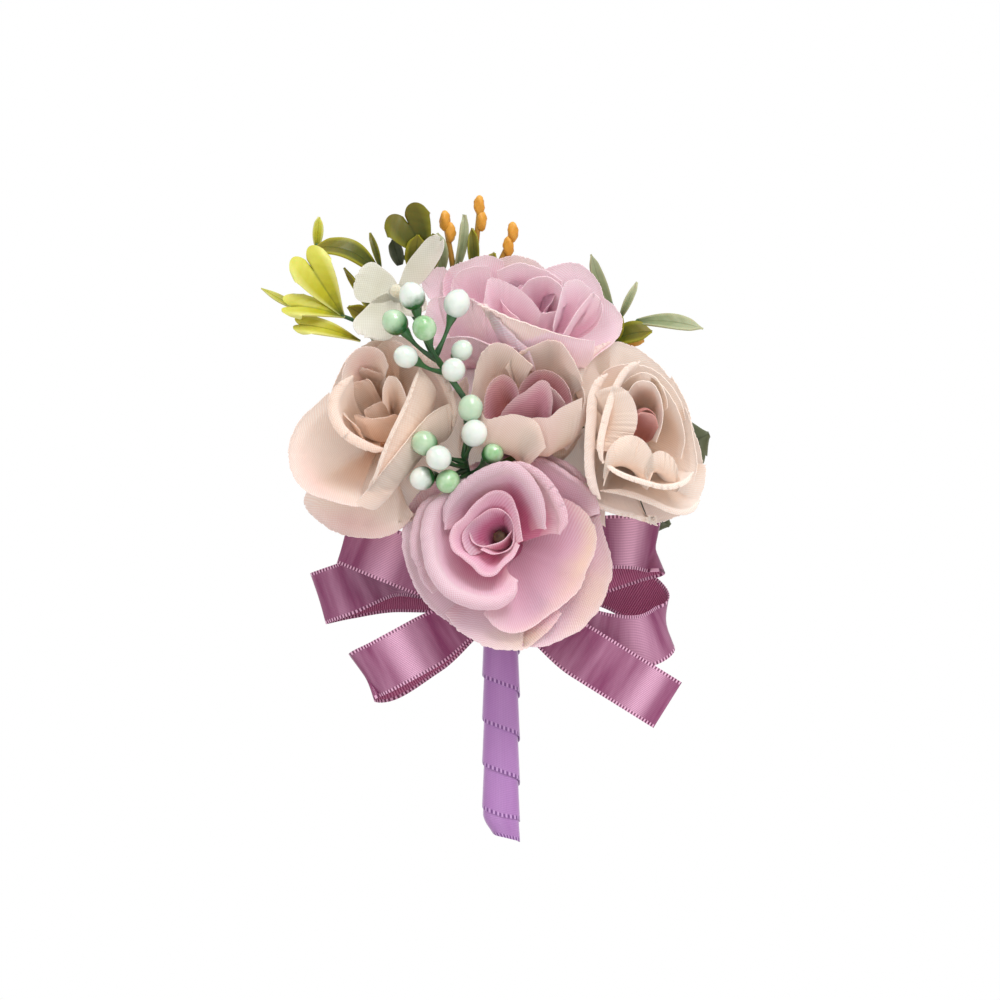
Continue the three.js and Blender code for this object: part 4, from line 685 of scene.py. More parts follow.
ROSE_LOW = dict(
    outer=[
        petal((65, 42, 4, 0), lip=(0.7, 110), rim=[(498, 461, 18), (510, 451, 18), (523, 447, 18),
            (536, 452, 18.5), (549, 462, 19), (565, 470, 19.5), (580, 483, 20), (592, 497, 20.5),
            (600, 516, 21)]),
        petal((-25, 45, 5, 0), accent=0.9, where=0.1, rim=[(599, 513, 20.5), (604, 530, 21),
            (610, 550, 21.5), (612, 570, 22), (608, 588, 22.8), (600, 608, 23.6), (586, 626, 24.2),
            (565, 640, 25), (543, 649, 25.5), (522, 648, 26)]),
        petal((-95, 42, 5, 0), accent=1.0, where=0.4, rim=[(446, 612, 24.5), (458, 628, 25.2),
            (474, 638, 26), (488, 646, 26.6), (506, 649, 27), (524, 648, 27), (540, 637, 27),
            (552, 624, 26.8), (560, 612, 26.4)]),
        petal((-165, 45, 5, 0), lip=(0.5, 90), rim=[(425, 490, 17.5), (413, 508, 18), (407, 528, 18.5),
            (407, 550, 19), (413, 572, 20), (424, 592, 21.5), (438, 608, 22.7), (454, 622, 23.8)]),
        petal((130, 32, 3, 0), rim=[(424, 492, 17), (436, 481, 17), (452, 475, 17), (470, 466, 16.6),
            (486, 462, 16.3), (502, 458, 16)]),
    ],
    middle=[
        petal((-35, 62, 5, 1), accent=1.0, where=-0.35, roll=0.2, rim=[(549, 501, 22.6), (562, 499, 23),
            (578, 507, 23.6), (589, 519, 24.1), (595, 536, 24.6), (593, 553, 25.1), (586, 569, 25.6),
            (580, 586, 26.1), (565, 602, 26.7), (546, 616, 27.2), (527, 630, 27.5), (510, 633, 27.6),
            (495, 626, 27.5), (484, 612, 27)]),
        petal((180, 42, 4, 0), lip=(0.8, 120), rim=[(449, 497, 21.5), (436, 501, 22), (425, 512, 22.2),
            (420, 530, 22.5), (420, 549, 23), (426, 563, 23.6), (429, 576, 24.2), (435, 592, 25)]),
        petal((62, 38, 3, 0), lip=(0.6, 110), rim=[(500, 473, 21), (514, 467, 21), (530, 463, 21.5),
            (547, 467, 22), (563, 476, 22.5), (580, 488, 23), (592, 501, 23.3), (598, 514, 23.5)]),
    ],
    inner=[
        petal((210, 75, 4, 1), lip=(1.35, 135), rim=[(463, 494, 24), (450, 500, 24.6), (441, 511, 25),
            (437, 529, 25.6), (438, 548, 26.2), (442, 565, 26.8), (452, 580, 27.4), (466, 590, 27.8),
            (482, 595, 28.2), (497, 595, 28.2), (509, 588, 28), (515, 578, 27.4)]),
        petal((80, 68, 4, 0), lip=(1.1, 150), rim=[(447, 530, 25.2), (451, 512, 25.6), (462, 498, 26),
            (478, 487, 26.6), (494, 479, 27.2), (508, 476, 27.6), (518, 483, 27.8), (527, 496, 28),
            (535, 512, 27.9), (543, 530, 27.4)]),
        petal((40, 50, 5, 0), lip=(1.2, 120), rim=[(505, 470, 25.4), (520, 473, 26), (533, 480, 26.4),
            (543, 491, 26.6), (551, 505, 26.6), (556, 520, 26.2), (555, 534, 25.6)]),
    ],
    centre=[
        petal((200, 175, 1, 0), roll=0.2, lip=(0.35, 100), rim=[(521, 541, 26.7), (518, 528, 26.5),
            (514, 511, 26.3), (507, 497, 26.2), (496, 494, 26.2), (484, 501, 26.2), (474, 511, 26.2),
            (466, 521, 26.3), (457, 528, 26.4), (453, 538, 26.5), (456, 549, 26.7), (465, 556, 26.9),
            (474, 564, 27.1), (484, 573, 27.3), (494, 573, 27.3), (503, 564, 27.1), (513, 556, 26.9),
            (519, 545, 26.6)]),
        petal((20, 170, 1, 0), roll=0.1, rim=[(470, 556, 25.4), (464, 546, 25.3), (463, 535, 25.2),
            (470, 524, 25), (480, 516, 24.9), (490, 509, 24.9), (501, 509, 25), (512, 520, 25.2),
            (515, 533, 25.4), (513, 547, 25.7), (504, 554, 25.8), (492, 556, 25.8), (480, 551, 25.6)]),
        petal((-90, 100, 0.5, 0), roll=0, rim=[(468, 531, 24.4), (472, 542, 24.6), (482, 547, 24.8),
            (492, 545, 25), (503, 540, 24.8), (511, 530, 24.4)]),
    ],
)

ROSEBUD = dict(
    outer=[
        petal((140, 40, 5, 2), roll=0.8, rim=[(470, 418, 20), (474, 402, 20.6), (477, 386, 21.2),
            (480, 370, 21.8), (486, 355, 22.4), (496, 348, 22.8), (508, 350, 23), (518, 358, 23),
            (531, 369, 22.6)]),
        petal((60, 42, 5, 2), roll=0.8, rim=[(508, 372, 21), (515, 362, 21.6), (526, 354, 22),
            (539, 346, 22.4), (551, 342, 22.6), (561, 346, 22.6), (568, 357, 22.4), (573, 371, 22),
            (578, 386, 22)]),
        petal((0, 40, 8, 2), roll=0.3, rim=[(563, 360, 18.6), (571, 374, 20), (579, 387, 21.6),
            (582, 400, 22.8), (578, 416, 23), (571, 432, 22.4), (562, 447, 21.4)]),
        petal((-70, 46, 10, 3), roll=0.3, accent=0.4, rim=[(520, 452, 24), (519, 436, 25.6),
            (523, 423, 26.4), (536, 417, 26.8), (549, 417, 26.8), (559, 409, 26.4), (570, 403, 25.6),
            (581, 398, 24.4)]),
        petal((-170, 50, 4, 0), rim=[(474, 414, 15), (464, 430, 15), (461, 448, 15), (468, 464, 15),
            (486, 471, 15), (504, 468, 15)]),
        petal((-60, 50, 4, 0), rim=[(520, 462, 16), (540, 464, 16), (558, 460, 16), (572, 448, 16),
            (582, 432, 16)]),
        petal((-130, 56, 10, 3), roll=0.3, accent=0.3, where=-0.6, rim=[(471, 414, 20), (476, 399, 21),
            (482, 406, 22.8), (488, 419, 25), (500, 417, 26.4), (512, 414, 27.4), (524, 416, 27.8),
            (535, 420, 27.8), (542, 432, 27), (546, 447, 26)]),
    ],
    inner=[
        petal((165, 60, 3, 0), rim=[(487, 426, 22), (486, 408, 22.4), (489, 392, 22.6), (496, 381, 22.4),
            (505, 377, 22), (513, 383, 21.8), (518, 394, 22), (520, 408, 22.4)]),
        petal((60, 62, 3, 0), rim=[(513, 408, 20.4), (518, 393, 20.4), (526, 380, 20.4), (538, 372, 20.4),
            (550, 373, 20.6), (561, 381, 21), (568, 394, 21.6), (570, 410, 22)]),
        petal((-90, 70, 4, 1), roll=0, rim=[(496, 428, 23.6), (503, 410, 24.6), (514, 398, 25.2),
            (527, 390, 25.6), (540, 381, 25.6), (548, 382, 25.8), (552, 394, 26), (552, 408, 25.8),
            (550, 426, 25.4)]),
        petal((-20, 50, 4, 1), roll=0, rim=[(545, 384, 23), (554, 389, 23.6), (563, 398, 24),
            (569, 410, 23.8), (566, 426, 23.4)]),
    ],
)

ROSE_LEFT = dict(
    outer=[
        petal((195, 42, 5, 1), roll=1.0, accent=0.7, where=0.5, rim=[(333, 396, 18), (320, 409, 18),
            (306, 422, 18.5), (297, 438, 19.5), (294, 456, 20.5), (298, 476, 22), (311, 490, 23.4),
            (332, 496, 24.6), (352, 501, 25.6), (364, 503, 25.8)]),
        petal((-108, 38, 6, 2), accent=0.8, where=0, roll=0.9, rim=[(309, 490, 16), (306, 502, 16.4),
            (316, 516, 17), (336, 528, 17.8), (358, 532, 18.4), (382, 531, 19), (400, 522, 19.6),
            (412, 511, 20)]),
        petal((140, 32, 4, 0), rim=[(331, 408, 16), (335, 391, 16), (342, 375, 15.5), (350, 359, 15),
            (360, 348, 14.5), (373, 341, 14), (388, 338, 13.6)]),
        petal((90, 32, 3, 0), rim=[(366, 346, 12.5), (380, 339, 12.5), (394, 338, 12.5), (408, 341, 13),
            (420, 348, 13.5), (430, 358, 14.5)]),
        petal((30, 30, 4, 0), lip=(0.9, 130), rim=[(398, 349, 17), (412, 356, 18), (424, 367, 19),
            (434, 380, 19.8), (442, 394, 20.4), (448, 410, 21), (452, 428, 21.6)]),
        petal((-25, 50, 5, 0), rim=[(443, 402, 17), (453, 389, 16.5), (467, 376, 16), (470, 400, 16.4),
            (469, 430, 17), (465, 460, 17.4), (455, 486, 17.6), (438, 508, 17.8), (418, 521, 18),
            (398, 524, 18)]),
    ],
    middle=[
        petal((120, 38, 3, 0), accent=0.8, roll=0.5, rim=[(342, 392, 19.6), (345, 374, 19.4),
            (351, 361, 19.2), (360, 352, 19), (371, 350, 19), (381, 354, 19.4), (387, 366, 20.4)]),
        petal((70, 34, 3, 0), roll=0.6, rim=[(378, 352, 16.5), (386, 343, 16.5), (398, 344, 17),
            (408, 352, 17.6), (416, 364, 18.4), (420, 380, 19.6)]),
        petal((-55, 42, 12, 2), lip=(0.5, 100), rim=[(449, 404, 21.6), (438, 410, 22.6), (427, 418, 23.8),
            (418, 428, 24.8), (408, 440, 25.8), (396, 455, 26.6), (384, 470, 27), (372, 485, 26.8),
            (356, 501, 26)]),
    ],
    inner=[
        petal((-25, 46, 11, 1), lip=(1.1, 130), rim=[(419, 369, 22.4), (414, 384, 24), (408, 401, 25.4),
            (400, 418, 26.6), (391, 437, 27.4), (383, 456, 27.6), (376, 474, 27.2), (366, 489, 26.4)]),
        petal((210, 52, 4, 0), lip=(1.15, 140), rim=[(354, 377, 21.6), (346, 391, 22.4), (341, 404, 23.2),
            (343, 417, 24), (350, 428, 24.8), (361, 436, 25.4), (374, 442, 26), (389, 447, 26.2)]),
    ],
    centre=[
        petal((15, 26, 2, 0), roll=0.3, rim=[(384, 402, 22.6), (384, 387, 23.6), (389, 376, 24.2),
            (395, 378, 24.4), (401, 390, 24.6), (405, 404, 24.6), (402, 420, 24.8)]),
        scroll(COIL, 200, 4.6, 8.8, 5.6, roll=0.5, tuck=0.9, lean=(-1.0, 2.0)),
        scroll(COIL, -85, 4.8, 8.2, 5.8, roll=0.3, tuck=0.9, lean=(-1.0, 2.0)),
        scroll(COIL, 80, 4.4, 9.4, 5.2, roll=0.3, tuck=0.9, lean=(-1.0, 2.0)),
        scroll(COIL, -60, 2.7, 8.6, 3.6, roll=0.2, tuck=0.5, lean=(-1.0, 2.0)),
        scroll(COIL, 120, 2.6, 9.4, 3.4, roll=0.2, tuck=0.5, lean=(-1.0, 2.0)),
    ],
)

ROSE_RIGHT = dict(
    outer=[
        petal((150, 32, 4, 0), lip=(0.8, 120), rim=[(613, 344, 13), (598, 356, 14), (588, 373, 15.2),
            (582, 391, 16.2), (584, 410, 17.2), (589, 430, 18.2)]),
        petal((205, 48, 4, 0), rim=[(590, 428, 16.4), (574, 436, 16.4), (560, 450, 16.8), (556, 470, 17.4),
            (562, 490, 18.4), (576, 505, 19), (592, 517, 19.4), (606, 526, 19.6)]),
        petal((-105, 38, 5, 1), lip=(0.7, 110), rim=[(586, 482, 20.4), (599, 500, 21), (614, 506, 21.6),
            (632, 509, 22), (645, 513, 22.2), (653, 516, 22), (658, 524, 21.6)]),
        petal((-50, 32, 5, 0), rim=[(650, 523, 18), (666, 518, 17.6), (683, 510, 17.2), (697, 499, 16.8),
            (704, 483, 16.4), (705, 464, 16)]),
        petal((5, 36, 4, 0), rim=[(704, 474, 15.4), (700, 453, 15.2), (693, 432, 15), (687, 412, 14.6),
            (679, 394, 14), (668, 377, 13.4)]),
        petal((80, 38, 4, 0), rim=[(671, 380, 12.4), (660, 367, 12.2), (645, 356, 12), (630, 347, 12),
            (616, 343, 12), (602, 351, 12.6), (594, 362, 13.4)]),
    ],
    middle=[
        petal((65, 46, 3, 0), roll=0.4, rim=[(598, 382, 17), (608, 371, 17), (622, 366, 17), (638, 366, 17),
            (654, 372, 17.4), (668, 384, 18), (678, 400, 18.6), (684, 420, 19.2)]),
        petal((-8, 28, 5, 0), roll=0.8, rim=[(681, 408, 18.6), (688, 426, 19.2), (691, 446, 19.8),
            (692, 466, 20.6), (688, 486, 21.4)]),
        petal((172, 48, 6, 1), lip=(1.35, 135), rim=[(609, 376, 19.6), (603, 389, 20.6), (598, 405, 21.8),
            (597, 424, 23), (596, 444, 24), (596, 464, 24.6), (599, 482, 24.6), (603, 498, 24)]),
        petal((-75, 44, 6, 2), lip=(0.75, 125), rim=[(600, 489, 23.2), (620, 487, 23.8), (638, 490, 24.2),
            (655, 497, 24.2), (671, 504, 23.6), (687, 506, 22.6), (699, 499, 21.2)]),
    ],
    inner=[
        petal((152, 60, 4, 0), lip=(1.0, 120), rim=[(641, 364, 21.6), (630, 373, 22.6), (621, 386, 23.6),
            (615, 401, 24.6), (611, 416, 25.4), (608, 432, 26), (607, 448, 26.4), (607, 464, 26.4)]),
        petal((-80, 62, 5, 1), lip=(0.8, 110), rim=[(604, 459, 26), (617, 467, 26.8), (633, 474, 27.2),
            (650, 479, 27.2), (666, 482, 26.8), (680, 479, 25.8), (691, 470, 24.2)]),
        petal((15, 55, 4, 0), roll=0.4, rim=[(650, 379, 21), (663, 389, 21.6), (673, 404, 22),
            (679, 422, 22.4), (681, 441, 22.6), (679, 459, 22.8)]),
        petal((70, 50, 3, 0), roll=0.3, rim=[(618, 392, 21.6), (628, 381, 21.8), (641, 375, 22),
            (654, 380, 22.2), (663, 392, 22.2), (667, 408, 22.2)]),
    ],
    centre=[
        petal((-105, 60, 12, -4), roll=0, rim=[(605, 468, 26), (609, 450, 27), (619, 438, 27.4),
            (631, 435, 27.4), (643, 440, 27.2), (651, 451, 26.8), (655, 468, 25.8)]),
        petal((180, 50, 10, -4), roll=0, rim=[(618, 386, 25.2), (629, 393, 25.8), (636, 407, 26),
            (637, 424, 26), (630, 440, 26), (613, 452, 25.8)]),
        petal((45, 60, 3, 0), roll=0.3, rim=[(628, 396, 23.8), (638, 383, 24), (650, 383, 24.4),
            (658, 394, 24.8), (662, 410, 25), (660, 428, 25), (655, 442, 24.8)]),
        petal((-75, 50, 11, -4), roll=0, rim=[(645, 474, 25.6), (648, 459, 26.4), (658, 451, 26.8),
            (669, 454, 26.6), (677, 465, 26), (680, 480, 24.8)]),
        petal((-100, 70, 1.6, 0), roll=0, rosy=1, rim=[(635, 426, 25), (637, 416, 25.6), (643, 412, 25.9),
            (651, 413, 25.9), (657, 419, 25.6), (658, 428, 25.2)]),
        petal((90, 70, 2.6, 0), roll=0, rosy=1, rim=[(637, 430, 24.4), (636, 420, 24.8), (641, 413, 25),
            (649, 411, 25), (656, 416, 24.8), (658, 427, 24.4)]),
    ],
)

ROSE_TOP = dict(
    outer=[
        petal((170, 22, 3, 0), rim=[(446, 302, 9.4), (431, 299, 9.4), (424, 287, 9.2), (428, 273, 9),
            (445, 268, 8.6)]),
        petal((135, 32, 3, 0), roll=0.8, rim=[(452, 306, 9.4), (447, 288, 9.2), (448, 273, 9),
            (457, 265, 8.8), (472, 260, 8.6), (488, 259, 8.2), (502, 264, 8)]),
        petal((100, 26, 3, 0), accent=0.8, rim=[(488, 264, 5), (502, 259, 5), (516, 257, 5), (530, 260, 5),
            (542, 268, 5.4), (550, 276, 6)]),
        petal((50, 34, 3, 0), roll=0.9, rim=[(538, 277, 7), (551, 270, 7.4), (567, 267, 8), (583, 271, 8.6),
            (595, 282, 9.2), (602, 298, 9.8)]),
        petal((0, 32, 4, 0), roll=0.6, rim=[(600, 297, 10), (612, 304, 11), (620, 317, 12), (617, 331, 13),
            (606, 342, 13.8), (593, 353, 14.4), (582, 366, 15)]),
        petal((-130, 42, 8, 3), lip=(0.6, 110), rim=[(434, 350, 14.6), (444, 341, 15.6), (458, 337, 16.8),
            (474, 338, 17.8), (490, 344, 18.8), (506, 347, 19.4), (521, 347, 19.8), (536, 352, 19.8)]),
        petal((190, 24, 4, 0), rim=[(449, 297, 11.4), (436, 298, 12), (429, 308, 12.8), (426, 323, 13.4),
            (430, 340, 14)]),
        petal((-110, 45, 4, 0), roll=0.3, rim=[(432, 346, 11), (438, 366, 12), (447, 384, 13),
            (462, 398, 14), (481, 404, 14.6), (500, 400, 15), (516, 388, 15)]),
    ],
    middle=[
        petal((-115, 40, 9, 2), lip=(0.5, 110), accent=0.4, rim=[(438, 298, 14.4), (452, 298, 15.8),
            (466, 299, 17), (479, 304, 18.2), (494, 313, 19), (508, 322, 19.4)]),
        petal((-70, 46, 9, 2), lip=(0.55, 110), accent=1.0, band=0.96, where=0.3, rim=[(530, 352, 21.4),
            (516, 341, 21.8), (503, 329, 22), (491, 317, 21.8), (481, 306, 21.2), (494, 310, 21.6),
            (512, 318, 22), (532, 325, 22), (553, 332, 21.6), (574, 338, 20.8), (594, 341, 19.4)]),
        petal((150, 34, 3, 0), roll=0.6, rim=[(458, 301, 13.6), (455, 286, 13.4), (461, 274, 13.2),
            (474, 268, 13), (488, 268, 12.8)]),
        petal((80, 40, 3, 0), roll=0.5, rim=[(498, 274, 11), (514, 267, 11), (532, 267, 11.2),
            (548, 274, 11.8), (560, 283, 12.4)]),
    ],
    inner=[
        petal((-120, 38, 4, 0), roll=0, rim=[(485, 306, 17.6), (487, 291, 17.6), (490, 278, 17.4),
            (504, 281, 17), (519, 288, 17), (531, 299, 17.4), (541, 313, 18)]),
        petal((-30, 34, 4, 0), roll=0.2, rim=[(551, 328, 18.8), (555, 311, 18.4), (560, 295, 17.8),
            (567, 281, 17), (580, 280, 16.2), (590, 288, 15.6)]),
        petal((-8, 30, 5, 0), roll=0.2, rim=[(562, 337, 19.2), (571, 321, 18.6), (581, 305, 17.8),
            (592, 291, 16.8), (600, 296, 16), (604, 308, 15.8)]),
        petal((60, 36, 3, 0), roll=0.4, rim=[(522, 292, 14), (532, 281, 13.6), (545, 278, 13.6),
            (557, 284, 14), (564, 296, 14.8)]),
    ],
    centre=[
        scroll(WALL, -40, 6, 12.5, 7.5, roll=0.2),
        scroll(WALL, 80, 6.2, 12.5, 7.5, roll=0.2),
        scroll(WALL, 200, 6.4, 12.5, 8, roll=0.2),
        scroll(WALL, 20, 3.4, 11.6, 4.4),
        scroll(WALL, 160, 3.4, 11.6, 4.4),
    ],
)

# What differs from flower to flower. For each layer a number says how much its petals darken towards the
# hub, partly by the cloth's colouring and partly as painted shade, and slot where the flower's wire lies in
# the bundle.
FLOWERS = [
    dict(name="rose_low", seed=100, cloth=pink, hub_dye_and_shade=(0.6, 0.45, 1.3, 1.6), at=(1.6, -15, 25.4),
        axis=(-0.25, -0.92, 0.3), slot=(2, 270), rise=2, reach_end=2, layers=ROSE_LOW),
    # The rosebud's darkening towards its hub is set high to paint the shadow that the flowers about it cast.
    dict(name="rosebud", seed=200, hub_dye_and_shade=(1.7, 1.2), cloth=peach, inner_cloth=dusky, at=(4.6, -15.5, 46.4),
        axis=(0.03, -0.84, 0.54), slot=(1, 300), rise=14, reach_end=4, layers=ROSEBUD),
    dict(name="rose_left", seed=300, cloth=peach, hub_dye_and_shade=(0.9, 0.9, 0.7, 0.6), at=(-21.4, -8, 45.4),
        axis=(-0.16, -0.84, 0.52), slot=(2, 210), rise=10, reach_end=4, layers=ROSE_LEFT),
    # Rose_right wears the paler lit copy of the peach cloth: painted light.
    dict(name="rose_right", seed=400, cloth=peach_lit_copy, hub_dye_and_shade=(0.36, 0.36, 0.34, 0.4), at=(22.8, -8, 44.8),
        axis=(0.16, -0.92, 0.3), slot=(2, 330), rise=10, reach_end=4, layers=ROSE_RIGHT),
    # Rose_top wears the paler lit copy of the pink cloth: painted light.
    dict(name="rose_top", seed=500, cloth=pink_lit_copy, hub_dye_and_shade=(0.16, 0.16, 0.22, 0.55), at=(4, -1.5, 60),
        axis=(0.12, -0.66, 0.74), slot=(1, 60), rise=16, reach_end=4, layers=ROSE_TOP),
]


def wire_piece(name, path, stands_for):
    shape = Shape()
    shape.tube(rings_along(path, WIRE / 2, sides=10))
    make(name, shape, [wire_green], stands_for=[stands_for])


def lathe(profile, facets=32):
    """Rings of points from pairs of radius and height about +Z."""
    angle = np.arange(facets) * TURN / facets
    return np.array([[(r * math.cos(a), r * math.sin(a), z) for a in angle] for r, z in profile])


LEAF_THICKNESS = 0.35
SEPALS, SEPAL_HALF, SEPAL_START, SEPAL_LENGTH, SEPAL_DROOP = 5, 2.0, 2.2, 7.2, 1.9


def calyx_piece(flower):
    """The calyx: a cup, and five pointed sepals under the petals."""
    shape = Shape()
    cup = [(0.75, -5), (1.4, -5), (1.6, -4.2), (2.3, -2.6), (2.9, -1.2), (3.1, -0.5), (2.9, 0), (1.2, 0)]
    shape.tube(placed(lathe(cup), flower))
    u, v = grid(12, 18)
    for k in range(SEPALS):
        wide = 0.55 + 0.45 * np.sin(np.pi / 2 * np.clip(v / 0.35, 0, 1))
        side = u * (SEPAL_HALF * wide * np.sqrt(np.clip(1 - v**2.2, 0.004, 1)))
        reach = SEPAL_START + SEPAL_LENGTH * v
        droop = -0.45 - SEPAL_DROOP * v**2 + 0.25 * np.abs(u) * v
        points = turned(reach, side, droop, (k + 0.25) / SEPALS * TURN)
        marks = together(v, np.abs(u), 0, 0)
        shape.slab(placed(points, flower), LEAF_THICKNESS, together(side, reach), marks, marks)
    make(f"{flower['name']}_sepals", shape, [calyx_green], stands_for=[f"{flower['name']}_calyx"])


for flower in FLOWERS:
    for level, kind in enumerate(flower["layers"]):
        finish = flower.get("inner_cloth", flower["cloth"]) if kind == "inner" else flower["cloth"]
        petal_layer(flower, kind, level, finish)
    calyx_piece(flower)
    axis = unit(flower["axis"])
    target = np.asarray(flower["at"], float) - axis * (PEG_SEAT + CLEARANCE)
    path = wire_path(flower["slot"], target, axis, flower["rise"], flower["reach_end"], CALYX)
    wire_piece(f"{flower['name']}_stalk", path, f"{flower['name']}_wire")
    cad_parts[f"{flower['name']}_peg"].data.materials[0] = pollen

# The white blossom. Each petal has its turn in degrees, its length and its half width.

BLOSSOM = dict(
    at=(-19, -13, 72.6), axis=(-0.2, -0.95, 0.25), slot=(1, 180), rise=26, reach_end=8, seed=700,
    cloth=0.16, hub=1.8, hole=0.6, width=24,
    petals=[(158, 7, 3.9), (47, 11.5, 2.5), (238, 9.5, 4.2), (-40, 5.5, 2.4)],
)
PETAL_LIFT, PETAL_HOLLOW = 0.3, 0.12  # of its length and of its half width


def blossom_piece():
    shape = Shape()
    hub, hole = BLOSSOM["hub"], BLOSSOM["hole"]
    u, v = grid(48, 36)
    for number, (turn, length, half) in enumerate(BLOSSOM["petals"]):
        rng = np.random.default_rng(BLOSSOM["seed"] + number)
        phase = rng.uniform(0, TURN, 2)
        rim = 1 + 0.02 * np.sin(5 * u + phase[0]) * v + 0.008 * np.sin(11 * u + phase[1]) * v
        reach = (hub - 2 * SINK + length * v) * rim
        side = u * half * outline(v, 0.3) * (1 + 0.08 * np.sin(7 * v + phase[1]))
        lift = HUB_CLOTH / 2 + PETAL_LIFT * length * v**2 - PETAL_HOLLOW * half * np.cos(3 * u) * v
        lift = lift + 0.7 * np.sin(3 * u + phase[0]) * v**2 + 0.35 * np.sin(6 * v + phase[1]) * v
        points = turned(reach, side, lift, math.radians(turn))
        marks = together(smooth(0.9 - v), 0, np.maximum(v, np.abs(u)), rng.uniform())
        shape.slab(placed(points, BLOSSOM), BLOSSOM["cloth"], together(side, reach), marks, marks)
    button = [(hole, 0), (hub, 0), (hub, 0.5), (1.2, HUB_CLOTH), (hole, HUB_CLOTH)]
    shape.tube(placed(lathe(button), BLOSSOM))
    made = make("blossom_cloth", shape, [cream], stands_for=["blossom_petals"])


axis, rise, reach_end = BLOSSOM["axis"], BLOSSOM["rise"], BLOSSOM["reach_end"]
target = np.array(BLOSSOM["at"]) + unit(axis) * HUB_CLOTH
path = wire_path(BLOSSOM["slot"], target, axis, rise, reach_end, HUB_CLOTH * 3)
wire_piece("blossom_stalk", path, "blossom_wire")
blossom_piece()
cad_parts["blossom_bead"].data.materials[0] = cream

# Berries. Each ball has its place, its radius, how green it is all over, and how green at its stalk.

TWIG_SPACING, TWIG_SAG, BERRY_STRETCH, BERRY_SEAT = 0.9, 0.06, 1.12, 0.9
STALK_THIN, STALK_WAVE, STALK_FLARE = 0.5, 0.14, 0.45
SPRAYS = [
    dict(name="berry_spray_upper", slot=(0, 0), fork=(-12.6, -22.0, 61.5), through=(-7.0, -20.5, 53.5),
         rise=16, reach=8, balls=[
             (-16.3, -24.0, 71.7, 2.4, 0.0, 0.8),
             (-8.1, -24.0, 70.4, 2.4, 0.0, 0.0),
             (-19.4, -24.5, 66.9, 2.3, 0.8, 0.9),
             (-14.0, -27.0, 65.8, 2.2, 1.0, 0.2),
             (-7.2, -23.5, 61.8, 1.9, 0.15, 0.2),
             (-17.4, -26.0, 60.6, 2.1, 0.0, 0.1),
             (-8.7, -26.0, 58.2, 2.2, 0.0, 0.1),
         ]),
    dict(name="berry_spray_lower", slot=(1, 240), fork=(-6.8, -21.5, 42.6), through=(-6.0, -17.0, 38.4),
         rise=10, reach=6, balls=[
             (-5.6, -25.0, 51.2, 2.3, 0.6, 0.2),
             (-4.9, -26.0, 46.6, 2.4, 0.0, 0.0),
             (-14.0, -25.0, 44.8, 2.3, 0.8, 0.7),
             (-11.4, -27.0, 42.1, 2.3, 0.0, 0.0),
             (-14.4, -24.0, 38.4, 2.2, 0.0, 0.9),
             (-9.7, -24.5, 37.8, 2.2, 1.0, 0.6),
             (-1.6, -24.0, 42.8, 2.0, 1.0, 1.3),
         ]),
]


def spray_piece(spray):
    """A spray of berries: its stalk, and a twig with a ball for each berry."""
    shape = Shape()
    fork, passed = np.array(spray["fork"]), np.array(spray["through"])
    heading = unit(fork - passed)
    end = np.linalg.norm(fork - passed)
    path = wire_path(spray["slot"], fork, heading, spray["rise"], spray["reach"], end)
    stalk = np.array([0, 0, 1.0, 0])
    growth = 1 + 0.5 * smooth((np.arange(len(path)) / len(path) - 0.7) / 0.3)
    rings = rings_along(path, WIRE / 2 * growth)
    shape.tube(rings, marks=np.broadcast_to(stalk, (*rings.shape[:2], 4)))
    for number, (x, y, z, radius, green, foot) in enumerate(spray["balls"]):
        start = fork - heading * number * TWIG_SPACING
        centre = np.array([x, y, z])
        away = unit(centre - start)
        length = np.linalg.norm(centre - start)
        side = unit(np.cross(away, (0.2, 0.3, 1)))
        sag = np.cross(away, side) * TWIG_SAG * length
        share = np.linspace(0, 1, 12)
        line = start + (centre - away * radius * BERRY_SEAT - start) * share[:, None]
        line = line + sag * np.sin(np.pi * share)[:, None]
        thick = STALK_THIN + STALK_WAVE * np.cos(np.pi * 2 * share)
        thick = thick + STALK_FLARE * smooth((share - 0.72) / 0.28)
        rings = rings_along(line, thick)
        shape.tube(rings, marks=np.broadcast_to(stalk, (*rings.shape[:2], 4)))
        turn = np.linspace(-np.pi / 2, np.pi / 2, 25)
        around = np.arange(28) * TURN / 28
        radial = radius * np.cos(turn) * (1 - 0.06 * np.exp(-(((turn + 1.3) / 0.3) ** 2)))
        along = radius * BERRY_STRETCH * np.sin(turn) + 0.12 * np.exp(-(((turn - np.pi / 2) / 0.16) ** 2))
        over = np.cross(away, side)
        ball = centre + along[:, None, None] * away + radial[:, None, None] * (
            np.cos(around)[None, :, None] * side + np.sin(around)[None, :, None] * over
        )
        low = (1 - (np.sin(turn) + 1) / 2)[:, None] ** 1.2 * foot * 1.15
        marks = together(low, green, 0.0, 0.0 * around[None])
        shape.tube(ball, marks=marks)
    make(f"{spray['name']}_painted", shape, [berries], stands_for=[spray["name"]])


for spray in SPRAYS:
    spray_piece(spray)

# Leaves

LEAF_SEED, LEAF_STEP = 900, 20  # each sprig's leaves draw from seeds of their own
LEAF_FOLD, LEAF_WAVE = 0.25, 0.04
TWIG_STEPS, TWIG, STOUT_TWIG = 8, (0.5, 0.38), (0.62, 0.5)  # radii from foot to end; stout under knobs
KNOB_STEPS, KNOB_FACETS, KNOB_HALF = 15, 16, 2.0
LEAF = dict(outline="narrow", facing=(0, -1, 0), arch=0.1, notch=0.0, look=0, tone=None)


def leaf(base, tip, width, **looks):
    return dict(LEAF, base=base, tip=tip, width=width, **looks)


def oval(v):
    return 0.2 + 0.8 * np.sin(np.pi * (0.06 + 0.86 * v)) ** 0.7


